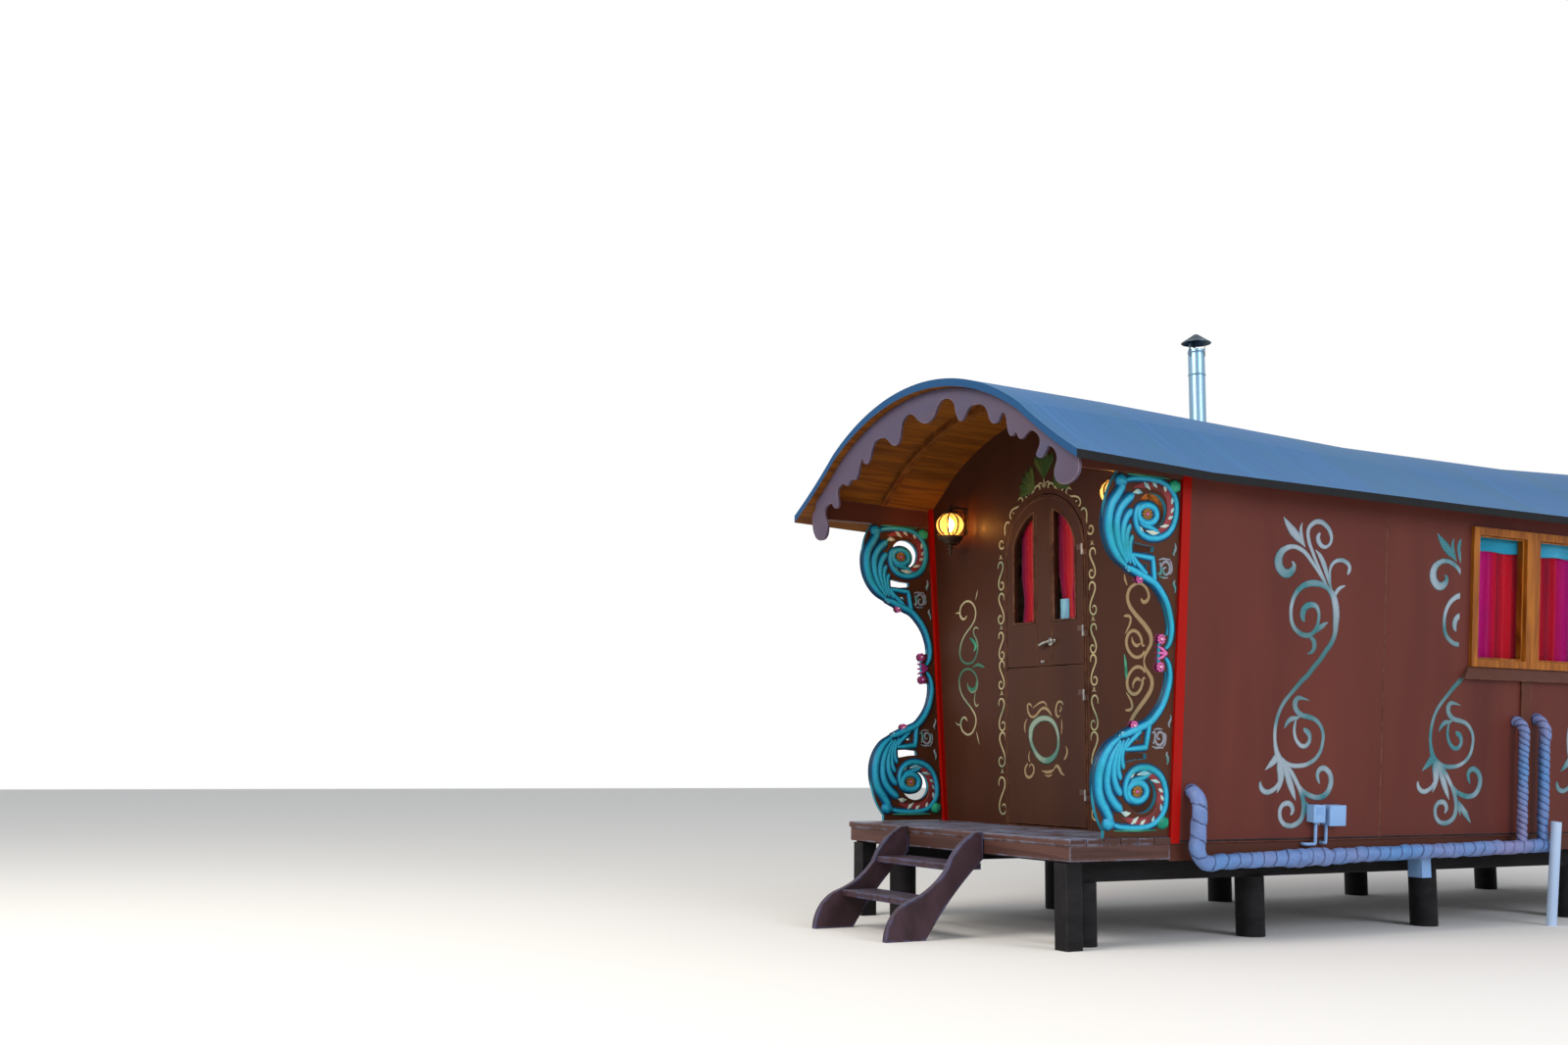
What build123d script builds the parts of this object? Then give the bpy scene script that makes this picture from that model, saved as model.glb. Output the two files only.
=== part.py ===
from build123d import *
from math import atan2, cos, degrees, radians, sin, sqrt, tan
import os

# A showman's living wagon of the bow-topped kind, set down for good on timber posts.
# Millimetres. +Z is up and Z 0 is the ground. The door end faces -Y. X 0 is the middle plane.
# Heights called "up" are measured from the deck, lengths called "behind" from the front wall.

# Driving dimensions of the body
deck_height = 560          # ground to the top of the deck and of the cabin floor
cabin_length = 5600        # outer face of the front wall to outer face of the rear wall
half_width = 1073          # middle plane to the outer face of a side wall, at the deck
half_width_high = 1230     # the same, at the height below
lean_height = 1900         # height over which the side walls spread to half_width_high
wall_thickness = 50
post_width = 60            # corner posts of the cabin, along the side
post_depth = 60            # corner posts of the cabin, into the wall
wall_drop = 32             # how far the side walls hang below the deck
seat = 0.3                 # clearance between pieces that rest on each other

# Porch
porch_depth = 700
deck_thickness = 32
deck_boards = 6
board_gap = 6
fascia_inset = 8
fascia_thickness = 22
fascia_bottom = 113        # below the deck
fascia_joint_x = -397

# Roof: half width at the eaves, and where the crown arc meets the straight slope
eaves_half = 1430
knee_half = 950
knee_drop = 275            # below the crown
eaves_sag = 12             # hollow of the slope between knee and eaves
roof_thickness = 45
front_overhang = 910
rear_overhang = 300
crown_front, eaves_front = 2535, 1935
crown_wall, eaves_wall = 2515, 1895
crown_middle, eaves_middle = 2440, 1884
middle_start = 2000        # behind either end wall, where the roof line levels out
rear_crown_lift, rear_eaves_lift = 7, 13
above_all = crown_front + 365   # a height clear above the roof
above_walls = crown_front - knee_drop      # a height clear above the tops of the side walls
below_eaves = 484          # from the lowest eaves down to a height clear below the roof

# Ground works
bearer_width, bearer_height, bearer_x = 90, 110, 850
joist_width, joist_height = 60, 90
pole_radius = 80
pole_ahead = 450           # pole under the porch, before the front wall
pole_inset, pole_pitch = 740, 1400
joist_inset, joist_pitch = 300, 625
square_post = 100
skirt_height, skirt_thickness, skirt_inset = 90, 22, 14
porch_post_inset = 12
bearer_start = -520
porch_joists = (60, 340, 605)      # middles of the joists behind the edge of the deck

# Steps
steps_reach = 1325         # front wall to the toe of the stringers
stringer_flat = 40         # level top of a stringer beside the deck
stringer_drop = 30         # top of a stringer's back below the fascia
steps_x = -56              # middle of the flight
tread_length = 702
tread_thickness = 35
stringer_thickness = 35
tread_places = ((0.344, 0.2965), (0.7185, 0.6215))      # nose and top, in shares of run and height
tread_depth = 225
tread_round = 6

# Doorway: an upright part and an arch about a centre on the middle plane
leaf_half = 362
arch_up = 1572             # centre of the arch
arch_extra = 29            # radius of the arch beyond the half width
leaf_gap = 8
lining_thickness = 30
leaf_front, leaf_back = -8, 26
lining_front, lining_back = -4, 60
stop_front, stop_back, stop_width = 33, 45, 14
threshold = 8
split_up = 940
split_gap = 6
pane_inner, pane_outer, pane_bottom = 98, 288, 1209
pane_margin = 88           # leaf edge to pane, round the arch
glass_thickness = 4
glass_behind = 14          # glass behind the face of its frame
door_curtain_rise = 268    # top of the curtain above the arch's centre
door_curtain_fall = 10     # foot of the curtain below the panes
door_curtain_inset = 15
door_curtain_thickness = 5
handle_up, handle_x, handle_half, handle_reach = 1068, 20, 52, 34
handle_radius, handle_foot_radius, handle_rose_radius, handle_rose_thickness = 8, 6, 12, 4

# Hinges of the door, on the +X side
hinge_x, hinge_y = 366, -17
pin_radius, bore_radius, knuckle_radius = 4, 4.05, 6.5
knuckle_height = 30
plate_thickness = 3
plate_length, pin_plate_length = 58, 30
hinge_ups_lower = (198, 763)
hinge_ups_upper = (1130, 1600)

# Windows, one two-light casement in the middle of each side wall and one in the rear wall
window_width, window_height, window_bottom = 1090, 835, 975
stile, mullion, bottom_rail, head_rail = 50, 120, 45, 45
casing_depth = 22
lining_overlap = 35        # casing face over the wall, beyond the hole
sill_height, sill_top_depth, sill_bottom_depth = 74, 10, 42
sill_top_ear, sill_bottom_ear = 12, 78     # beyond the frame at either end
strip_width, strip_thickness, strip_behind = 90, 12, 2770
curtain_gap = 8
curtain_thickness = 12
curtain_drop = 70          # below the hole
blind_height, blind_thickness, blind_end = 120, 3, 10
curtain_parting = 6
rail_height, rail_depth = 28, 34
rail_lift, rail_end = 16, 30   # rail above the hole and beyond its sides

# Brackets and valances
board_thickness = 22
relief_thickness = 16
flower_depth = 12
plate_height = 98.75       # roof plate at the wall, from the bracket to the line of the soffit
plate_width = 38
bracket_middle = 963       # the upper half is mirrored below this height
valance_back = -844
valance_thickness = 18
valance_inset, valance_reach = 30, 600     # short of the eaves, and a height beyond its drop
valance_band = 85
rear_valance_inset = 60    # back valance before the end of the roof
rib_width, rib_height = 40, 45
rib_pitch, rear_rib_inset, rib_end_gap = 700, 120, 15

# Fittings
flue_x, flue_behind, flue_radius, flue_wall = -450, 1665, 56, 3
flue_top, flue_bottom = 3160, 2180
flue_gap = 2               # pipe to the edge of its hole in the roof
cap_radius, cap_height, cap_lift = 100, 62, 45
cap_edge, cap_sheet, cap_crown = 4, 5, 14
strap_thickness, strap_width, strap_foot, strap_head = 2, 16, 50, 32
collar_radius, collar_top = 105, 2450
collar_height, collar_shoulder, collar_clear = 130, 34, 6
lantern_x, lantern_behind, lantern_up = 800, -125, 1860
globe_radius, globe_half, globe_mouth, globe_wall = 84, 78, 30, 3
arm_radius, arm_rise = 6, 34               # arm above the globe
back_plate = (50, 120, 8)                  # width, height and thickness

# Services on the +X side
pipe_radius, pipe_stand = 44, 72
bend = 16                  # bend radius beyond the pipe's own radius
pipe_start, pipe_start_up = 98, -125       # foot of the drop at the corner of the cabin
pipe_end, pipe_end_up = 2901, -84
pipe_drop_top = 240
risers = ((2675, 655, 32), (2865, 672, 36))         # behind, top, radius
waste_radius, waste_top, waste_top_up = 30, 2890, 67
waste_foot, waste_socket, waste_wall = 2862, 150, 3
boxes = ((1000, 73, 166, 85, 50), (1130, 55, 165, 120, 62))    # behind, bottom, top, width, depth
conduit_radius, conduit_stand, conduit_bend = 9, 22, 1
conduit_seat = 5           # end of a conduit above the bottom of its box
conduits = ((1005, 935, -50), (1085, 1075, -45))    # behind at the box, behind at the foot, foot
trap_behind, trap_width, trap_bottom, trap_run = 1935, 76, -262, 100

lean = degrees(atan2(half_width_high - half_width, lean_height))
overall = steps_reach + cabin_length + rear_overhang
front_y = steps_reach - overall / 2
rear_y = front_y + cabin_length

side_plane = Plane(
    origin=(half_width, front_y, deck_height),
    x_dir=(0, 1, 0),
    z_dir=(cos(radians(lean)), 0, -sin(radians(lean))),
)


def across(behind):
    """Upright plane across the wagon. Extruding by a negative amount goes towards the rear."""
    return Plane(origin=(0, front_y + behind, deck_height), x_dir=(1, 0, 0), z_dir=(0, -1, 0))


def level(up):
    """Level plane at a height above the deck, with its origin under the front wall."""
    return Plane(origin=(0, front_y, deck_height + up), x_dir=(1, 0, 0), z_dir=(0, 0, 1))


def half_at(up):
    """Half width over the side walls at a height above the deck."""
    return half_width + (half_width_high - half_width) * up / lean_height


def finish(builder, name):
    """Name a finished piece and write it."""
    builder.part.label = name
    export_step(builder.part, f"parts/{name}.step")


os.makedirs("parts", exist_ok=True)

# Roof line. Each station is a place along the roof with its crown and eaves heights.
roof_stations = (
    (-front_overhang, crown_front, eaves_front),
    (0, crown_wall, eaves_wall),
    (middle_start, crown_middle, eaves_middle),
    (cabin_length - middle_start, crown_middle, eaves_middle),
    (cabin_length, crown_wall, eaves_wall),
    (cabin_length + rear_overhang, crown_wall + rear_crown_lift, eaves_wall + rear_eaves_lift),
)


def roof_curve(crown, eaves):
    """Draw the bow of the roof from the +X eaves over the crown to the -X eaves."""
    knee = crown - knee_drop
    hollow_x = (knee_half + eaves_half) / 2
    hollow_up = (knee + eaves) / 2 - eaves_sag
    ThreePointArc((eaves_half, eaves), (hollow_x, hollow_up), (knee_half, knee))
    ThreePointArc((knee_half, knee), (0, crown), (-knee_half, knee))
    ThreePointArc((-knee_half, knee), (-hollow_x, hollow_up), (-eaves_half, eaves))


def roof_block(shift, far):
    """Solid between the bow, moved up by shift, and a level face at the height far."""
    with BuildPart() as block:
        for behind, crown, eaves in roof_stations:
            with BuildSketch(across(behind)):
                with BuildLine():
                    roof_curve(crown + shift, eaves + shift)
                    Polyline(
                        (-eaves_half, eaves + shift),
                        (-eaves_half, far),
                        (eaves_half, far),
                        (eaves_half, eaves + shift),
                    )
                make_face()
        loft(ruled=True)
    return block.part


above_soffit = roof_block(-roof_thickness - seat, above_all)
below_roof = roof_block(seat, eaves_middle - below_eaves)

with BuildPart() as roof_shell:
    for behind, crown, eaves in roof_stations:
        with BuildSketch(across(behind)):
            with BuildLine():
                roof_curve(crown, eaves)
                Line((-eaves_half, eaves), (-eaves_half, eaves - roof_thickness))
                roof_curve(crown - roof_thickness, eaves - roof_thickness)
                Line((eaves_half, eaves - roof_thickness), (eaves_half, eaves))
            make_face()
    loft(ruled=True)
    with BuildSketch(level(0)):
        with Locations((flue_x, flue_behind)):
            Circle(flue_radius + flue_gap)
    extrude(amount=above_all, mode=Mode.SUBTRACT)
finish(roof_shell, "roof_shell")

# Arched ribs under the roof: two over the porch, a row in the cabin, one behind the rear wall
cabin_ribs = round(cabin_length / rib_pitch) - 1
rib_places = [valance_back + seat, valance_back / 2]
rib_places += [cabin_length * (index + 1) / (cabin_ribs + 1) for index in range(cabin_ribs)]
rib_places.append(cabin_length + rear_overhang - rear_rib_inset)
rib_half = half_width_high - post_depth - rib_end_gap
above_ribs = roof_block(-roof_thickness - rib_height, above_all)

with BuildPart() as roof_ribs:
    for place in rib_places:
        with BuildSketch(across(place)):
            with BuildLine():
                Polyline(
                    (-rib_half, knee_half),
                    (rib_half, knee_half),
                    (rib_half, above_all),
                    (-rib_half, above_all),
                    close=True,
                )
            make_face()
        extrude(amount=-rib_width)
    add(above_ribs, mode=Mode.INTERSECT)
    add(above_soffit, mode=Mode.SUBTRACT)
finish(roof_ribs, "roof_ribs")

# Ground works: poles under two long bearers, square posts under the porch, joists across
pole_places = (
    -pole_ahead,
    pole_inset,
    pole_inset + pole_pitch,
    cabin_length - pole_inset - pole_pitch,
    cabin_length - pole_inset,
)
skirt_half = half_at(-wall_drop) - skirt_inset
joist_half = skirt_half - skirt_thickness - seat
bearer_top = deck_height - deck_thickness - seat - joist_height - seat
joist_gaps = round((cabin_length - 2 * joist_inset) / joist_pitch)
joist_step = (cabin_length - 2 * joist_inset) / joist_gaps
joist_places = [place - porch_depth for place in porch_joists]
joist_places += [joist_inset + joist_step * index for index in range(joist_gaps + 1)]

with BuildPart() as underframe:
    with BuildSketch(Plane.XY.offset(bearer_top)):
        with Locations((bearer_x, front_y + (bearer_start + cabin_length) / 2)):
            Rectangle(bearer_width, cabin_length - bearer_start)
    extrude(amount=-bearer_height)
    mirror(about=Plane.YZ)
    with BuildSketch(level(-deck_thickness - seat)):
        for place in joist_places:
            with Locations((0, place)):
                Rectangle(2 * joist_half, joist_width)
    extrude(amount=-joist_height)
finish(underframe, "underframe")

with BuildPart() as posts:
    with BuildSketch(Plane.XY):
        for place in pole_places:
            with Locations((bearer_x, front_y + place), (-bearer_x, front_y + place)):
                Circle(pole_radius)
    extrude(amount=bearer_top - bearer_height - seat)
    with BuildSketch(Plane.XY):
        post_x = half_width - fascia_inset - fascia_thickness - square_post / 2 - porch_post_inset
        with Locations((post_x, front_y + joist_places[0]), (-post_x, front_y + joist_places[0])):
            Rectangle(square_post, square_post)
    extrude(amount=bearer_top)
finish(posts, "posts")

# Floor between the side walls, and the deck of the porch, laid in boards across the wagon
floor_half = half_at(-wall_drop) - wall_thickness - 2
with BuildPart() as cabin_floor:
    with BuildSketch(level(0)):
        with Locations((0, cabin_length / 2)):
            Rectangle(2 * floor_half, cabin_length)
        for end in (0, cabin_length):
            with Locations((half_width, end), (-half_width, end)):
                Rectangle(2 * (half_width - floor_half + post_depth), 2 * post_width + 2, mode=Mode.SUBTRACT)
    extrude(amount=-deck_thickness)
finish(cabin_floor, "cabin_floor")

deck_back = -post_width / 2 - 1
board_pitch = (porch_depth + deck_back + board_gap) / deck_boards
board_width = board_pitch - board_gap
with BuildPart() as porch_deck:
    with BuildSketch(level(0)):
        for index in range(deck_boards):
            with Locations((0, -porch_depth + board_width / 2 + index * board_pitch)):
                Rectangle(2 * half_width, board_width)
        with Locations((0, (deck_back - 0.5) / 2)):
            Rectangle(2 * (floor_half - post_depth), -deck_back - 0.5)
    extrude(amount=-deck_thickness)
    fillet(porch_deck.edges().filter_by(Axis.X).group_by(Axis.Y)[0].sort_by(Axis.Z)[-1], 8)
finish(porch_deck, "porch_deck")

# Fascia boards under the edge of the deck: the front in two lengths, and one at each side
fascia_top = -deck_thickness - seat
fascia_half = half_width - fascia_inset
with BuildPart() as porch_fascia:
    with BuildSketch(level(fascia_top)):
        with BuildLine():
            front = -porch_depth + fascia_inset
            Polyline(
                (-fascia_half, front),
                (fascia_joint_x - seat, front),
                (fascia_joint_x - seat, front + fascia_thickness),
                (-fascia_half, front + fascia_thickness),
                close=True,
            )
        make_face()
        with BuildLine():
            Polyline(
                (fascia_half, front),
                (fascia_joint_x + seat, front),
                (fascia_joint_x + seat, front + fascia_thickness),
                (fascia_half, front + fascia_thickness),
                close=True,
            )
        make_face()
        side_length = porch_depth - fascia_inset - fascia_thickness - seat - post_width / 2 - seat
        side_middle = -post_width / 2 - seat - side_length / 2
        with Locations((fascia_half - fascia_thickness / 2, side_middle)):
            Rectangle(fascia_thickness, side_length)
        with Locations((fascia_thickness / 2 - fascia_half, side_middle)):
            Rectangle(fascia_thickness, side_length)
    extrude(amount=fascia_top + fascia_bottom, dir=(0, 0, -1))
finish(porch_fascia, "porch_fascia")

# Skirt boards below the side walls and the rear wall
with BuildPart() as skirts:
    with BuildSketch(level(-wall_drop - seat)):
        with Locations((skirt_half - skirt_thickness / 2, cabin_length / 2)):
            Rectangle(skirt_thickness, cabin_length + post_width)
        with Locations((skirt_thickness / 2 - skirt_half, cabin_length / 2)):
            Rectangle(skirt_thickness, cabin_length + post_width)
        with Locations((0, cabin_length + post_width / 2 - skirt_thickness / 2)):
            Rectangle(2 * joist_half, skirt_thickness)
    extrude(amount=-skirt_height)
finish(skirts, "skirts")

# Corner posts, run up to the roof
with BuildPart() as corner_posts:
    with BuildSketch(side_plane.offset(3)):
        for end in (0, cabin_length):
            with Locations((end, (above_walls - wall_drop) / 2)):
                Rectangle(post_width, above_walls + wall_drop)
    extrude(amount=-post_depth - 3)
    add(above_soffit, mode=Mode.SUBTRACT)
    mirror(about=Plane.YZ)
finish(corner_posts, "corner_posts")

# Windows. Each has a plane on the outer face of its wall, x along the wall, y up from the deck.
side_window = Plane(side_plane.from_local_coords((cabin_length / 2, 0, 0)), side_plane.x_dir, side_plane.z_dir)
other_window = Plane(
    origin=(-side_window.origin.X, side_window.origin.Y, deck_height),
    x_dir=(0, -1, 0),
    z_dir=(-side_plane.z_dir.X, 0, side_plane.z_dir.Z),
)
rear_window = Plane(origin=(0, rear_y, deck_height), x_dir=(-1, 0, 0), z_dir=(0, 1, 0))
window_planes = (side_window, other_window, rear_window)

hole_width = window_width - 2 * lining_overlap
hole_height = window_height - 2 * lining_overlap
window_middle = window_bottom + window_height / 2
light_width = (window_width - 2 * stile - mullion) / 2
light_height = window_height - bottom_rail - head_rail
light_middle = window_bottom + bottom_rail + light_height / 2
light_x = (mullion + light_width) / 2
light_places = ((-light_x, light_middle), (light_x, light_middle))

with BuildPart() as wall_right:
    with BuildSketch(side_plane):
        with Locations((cabin_length / 2, (above_walls - wall_drop) / 2)):
            Rectangle(cabin_length - post_width - 2 * seat, above_walls + wall_drop)
        with Locations((cabin_length / 2, window_middle)):
            Rectangle(hole_width, hole_height, mode=Mode.SUBTRACT)
    extrude(amount=-wall_thickness)
    add(above_soffit, mode=Mode.SUBTRACT)
finish(wall_right, "wall_right")

with BuildPart() as wall_left:
    add(wall_right.part)
    mirror(about=Plane.YZ)
    split(bisect_by=Plane.YZ, keep=Keep.BOTTOM)
finish(wall_left, "wall_left")


def end_wall_outline():
    """Draw the outline of an end wall between the corner posts, taller than the roof."""
    inset = post_depth / cos(radians(lean)) + seat
    Polyline(
        (-half_at(0) + inset, seat),
        (half_at(0) - inset, seat),
        (half_at(above_all) - inset, above_all),
        (-half_at(above_all) + inset, above_all),
        close=True,
    )


def arch_outline(half, bottom):
    """Draw an opening with upright sides and an arched head, about the arch's centre."""
    radius = half + arch_extra
    spring = arch_up + sqrt(radius**2 - half**2)
    Polyline((-half, spring), (-half, bottom), (half, bottom), (half, spring))
    ThreePointArc((half, spring), (0, arch_up + radius), (-half, spring))


opening_half = leaf_half + leaf_gap
hole_half = opening_half + lining_thickness

with BuildPart() as wall_front:
    with BuildSketch(across(0)):
        with BuildLine():
            end_wall_outline()
        make_face()
        with BuildLine():
            arch_outline(hole_half, seat)
        make_face(mode=Mode.SUBTRACT)
    extrude(amount=-wall_thickness)
    add(above_soffit, mode=Mode.SUBTRACT)
finish(wall_front, "wall_front")

with BuildPart() as wall_rear:
    with BuildSketch(across(cabin_length)):
        with BuildLine():
            end_wall_outline()
        make_face()
        with Locations((0, window_middle)):
            Rectangle(hole_width, hole_height, mode=Mode.SUBTRACT)
    extrude(amount=wall_thickness)
    add(above_soffit, mode=Mode.SUBTRACT)
finish(wall_rear, "wall_rear")

with BuildPart() as window_frames:
    for plane in window_planes:
        with BuildSketch(plane.offset(seat)):
            with Locations((0, window_middle)):
                Rectangle(window_width, window_height)
            with Locations(*light_places):
                Rectangle(light_width, light_height, mode=Mode.SUBTRACT)
        extrude(amount=casing_depth)
        with BuildSketch(plane.offset(seat)):
            with Locations((0, window_middle)):
                Rectangle(hole_width - 2 * seat, hole_height - 2 * seat)
            with Locations(*light_places):
                Rectangle(light_width, light_height, mode=Mode.SUBTRACT)
        extrude(amount=-wall_thickness)
finish(window_frames, "window_frames")

with BuildPart() as window_glass:
    for plane in window_planes:
        with BuildSketch(plane.offset(-glass_behind)):
            with Locations(*light_places):
                Rectangle(light_width - 2 * seat, light_height - 2 * seat)
        extrude(amount=glass_thickness)
finish(window_glass, "window_glass")

# Sloping sills, wider and deeper at their lower edge, mitred at the ends
sill_top = window_bottom - seat
sill_top_half = window_width / 2 + sill_top_ear
sill_bottom_half = window_width / 2 + sill_bottom_ear


def sill_edge(plane, up, half, depth):
    """Sketch plane and rectangle centre for one level section of a sill."""
    base = Plane(plane.from_local_coords((0, up, seat)), plane.x_dir, plane.y_dir)
    with BuildSketch(base) as section:
        with Locations((0, -depth / 2)):
            Rectangle(2 * half, depth)
    return section.sketch


with BuildPart() as window_sills:
    for plane in window_planes:
        sections = (
            sill_edge(plane, sill_top - sill_height, sill_bottom_half, sill_bottom_depth),
            sill_edge(plane, sill_top, sill_top_half, sill_top_depth),
        )
        loft(sections, ruled=True)
finish(window_sills, "window_sills")

# Cover strips below the side sills, over the joint of the boarding
strip_top = sill_top - sill_height - seat
with BuildPart() as side_strips:
    with BuildSketch(side_plane.offset(seat)):
        with Locations((strip_behind, (strip_top - wall_drop) / 2)):
            Rectangle(strip_width, strip_top + wall_drop)
    extrude(amount=strip_thickness)
    mirror(about=Plane.YZ)
finish(side_strips, "side_strips")

# Curtain rails, blinds and curtains inside the windows
hole_top = window_middle + hole_height / 2
hole_bottom = window_middle - hole_height / 2
rail_bottom = hole_top + rail_lift
with BuildPart() as curtain_rails:
    for plane in window_planes:
        with BuildSketch(plane.offset(-wall_thickness - seat)):
            with Locations((0, rail_bottom + rail_height / 2)):
                Rectangle(hole_width + 2 * rail_end, rail_height)
        extrude(amount=-rail_depth)
finish(curtain_rails, "curtain_rails")

with BuildPart() as blinds:
    for plane in window_planes:
        with BuildSketch(plane.offset(-wall_thickness - seat)):
            with Locations((0, rail_bottom - seat - blind_height / 2)):
                Rectangle(hole_width + 2 * blind_end, blind_height)
        extrude(amount=-blind_thickness)
finish(blinds, "blinds")

curtain_top = rail_bottom - seat
curtain_bottom = hole_bottom - curtain_drop
with BuildPart() as curtains:
    for plane in window_planes:
        with BuildSketch(plane.offset(-wall_thickness - seat - curtain_gap)):
            with Locations(
                (-hole_width / 4, (curtain_top + curtain_bottom) / 2),
                (hole_width / 4, (curtain_top + curtain_bottom) / 2),
            ):
                Rectangle(hole_width / 2 - curtain_parting, curtain_top - curtain_bottom)
        extrude(amount=-curtain_thickness)
finish(curtains, "curtains")

# Doorway: lining with a stop behind the leaves
with BuildPart() as door_frame:
    with BuildSketch(across(lining_front)):
        with BuildLine():
            arch_outline(hole_half - seat, 2 * seat)
        make_face()
        with BuildLine():
            arch_outline(opening_half, threshold)
        make_face(mode=Mode.SUBTRACT)
    extrude(amount=lining_front - lining_back)
    with BuildSketch(across(stop_front)):
        with BuildLine():
            arch_outline(opening_half + 5, threshold / 2)
        make_face()
        with BuildLine():
            arch_outline(leaf_half - stop_width, threshold)
        make_face(mode=Mode.SUBTRACT)
    extrude(amount=stop_front - stop_back)
finish(door_frame, "door_frame")


def pane_outline(side):
    """Draw one pane of the upper leaf, with its head parallel to the arch."""
    radius = leaf_half + arch_extra - pane_margin
    outer_top = arch_up + sqrt(radius**2 - pane_outer**2)
    inner_top = arch_up + sqrt(radius**2 - pane_inner**2)
    halfway = (pane_inner + pane_outer) / 2
    halfway_top = arch_up + sqrt(radius**2 - halfway**2)
    Polyline(
        (side * pane_inner, inner_top),
        (side * pane_inner, pane_bottom),
        (side * pane_outer, pane_bottom),
        (side * pane_outer, outer_top),
    )
    ThreePointArc(
        (side * pane_outer, outer_top),
        (side * halfway, halfway_top),
        (side * pane_inner, inner_top),
    )


leaf_depth = leaf_back - leaf_front
upper_bottom = split_up + split_gap / 2
lower_top = split_up - split_gap / 2
lower_bottom = threshold + leaf_gap

with BuildPart() as door_upper:
    with BuildSketch(across(leaf_front)):
        with BuildLine():
            arch_outline(leaf_half, upper_bottom)
        make_face()
        for side in (-1, 1):
            with BuildLine():
                pane_outline(side)
            make_face(mode=Mode.SUBTRACT)
    extrude(amount=-leaf_depth)
finish(door_upper, "door_upper")

with BuildPart() as door_lower:
    with BuildSketch(across(leaf_front)):
        with Locations((0, (lower_top + lower_bottom) / 2)):
            Rectangle(2 * leaf_half, lower_top - lower_bottom)
    extrude(amount=-leaf_depth)
finish(door_lower, "door_lower")

with BuildPart() as door_glass:
    with BuildSketch(across(leaf_front + glass_behind)):
        for side in (-1, 1):
            with BuildLine():
                pane_outline(side)
            make_face()
        offset(amount=-seat, kind=Kind.INTERSECTION)
    extrude(amount=-glass_thickness)
finish(door_glass, "door_glass")

door_curtain_top = arch_up + door_curtain_rise
door_curtain_bottom = pane_bottom - door_curtain_fall
with BuildPart() as door_curtain:
    with BuildSketch(across(leaf_back + seat)):
        with Locations((0, (door_curtain_top + door_curtain_bottom) / 2)):
            Rectangle(2 * (pane_outer - door_curtain_inset), door_curtain_top - door_curtain_bottom)
    extrude(amount=-door_curtain_thickness)
finish(door_curtain, "door_curtain")

# Pull handle of the upper leaf: a bar on two feet
foot_half = handle_half - handle_rose_radius + 2
with BuildPart() as door_handle:
    with BuildSketch(across(leaf_front - seat)):
        with Locations((handle_x - foot_half, handle_up), (handle_x + foot_half, handle_up)):
            Circle(handle_rose_radius)
    extrude(amount=handle_rose_thickness)
    with BuildSketch(across(leaf_front - seat)):
        with Locations((handle_x - foot_half, handle_up), (handle_x + foot_half, handle_up)):
            Circle(handle_foot_radius)
    extrude(amount=handle_reach)
    with BuildSketch(Plane.YZ.offset(handle_x - handle_half)):
        with Locations((front_y + leaf_front - handle_reach, deck_height + handle_up)):
            Circle(handle_radius)
    extrude(amount=2 * handle_half)
    fillet(door_handle.edges().filter_by(GeomType.CIRCLE).sort_by(Axis.X)[0], 3)
finish(door_handle, "door_handle")

# Hinges: a pin on a plate on the lining, and a knuckle with a bore on a plate on the leaf
all_hinge_ups = hinge_ups_lower + hinge_ups_upper

with BuildPart() as hinge_pins:
    for up in all_hinge_ups:
        with BuildSketch(level(up - 1)):
            with Locations((hinge_x, hinge_y)):
                Circle(knuckle_radius)
            with BuildLine():
                Polyline(
                    (hinge_x, hinge_y),
                    (hinge_x + knuckle_radius, hinge_y),
                    (hinge_x + knuckle_radius, lining_front - plate_thickness - seat),
                    (hinge_x + pin_plate_length, lining_front - plate_thickness - seat),
                    (hinge_x + pin_plate_length, lining_front - seat),
                    (hinge_x + knuckle_radius - 3, lining_front - seat),
                    (hinge_x + knuckle_radius - 3, hinge_y + 1),
                    close=True,
                )
            make_face()
        extrude(amount=-knuckle_height)
        with BuildSketch(level(up - 2)):
            with Locations((hinge_x, hinge_y)):
                Circle(pin_radius)
        extrude(amount=knuckle_height + 4)
finish(hinge_pins, "hinge_pins")


def leaf_hinges(ups):
    """Knuckles and plates on one leaf."""
    with BuildPart() as hinges:
        for up in ups:
            with BuildSketch(level(up)):
                with Locations((hinge_x, hinge_y)):
                    Circle(knuckle_radius)
                with BuildLine():
                    Polyline(
                        (hinge_x, hinge_y),
                        (hinge_x - knuckle_radius, hinge_y),
                        (hinge_x - knuckle_radius, leaf_front - plate_thickness - seat),
                        (hinge_x - plate_length, leaf_front - plate_thickness - seat),
                        (hinge_x - plate_length, leaf_front - seat),
                        (hinge_x - knuckle_radius + 3, leaf_front - seat),
                        (hinge_x - knuckle_radius + 3, hinge_y + 1),
                        close=True,
                    )
                make_face()
                with Locations((hinge_x, hinge_y)):
                    Circle(bore_radius, mode=Mode.SUBTRACT)
            extrude(amount=knuckle_height)
    return hinges


hinges_upper = leaf_hinges(hinge_ups_upper)
finish(hinges_upper, "hinges_upper")

hinges_lower = leaf_hinges(hinge_ups_lower)
finish(hinges_lower, "hinges_lower")

# Valances: a band along the soffit with hanging lobes (middle, lowest height, half width)
valance_lobes = (
    (-1228, 1765, 66),
    (-1030, 1945, 24),
    (-905, 2050, 34),
    (-672, 2165, 30),
    (-360, 2232, 46),
    (-15, 2292, 58),
    (331, 2260, 52),
    (643, 2190, 46),
    (812, 2110, 26),
    (893, 2075, 30),
    (1040, 1955, 36),
    (1232, 1775, 82),
)
above_band = roof_block(-roof_thickness - valance_band, above_all)


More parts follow.
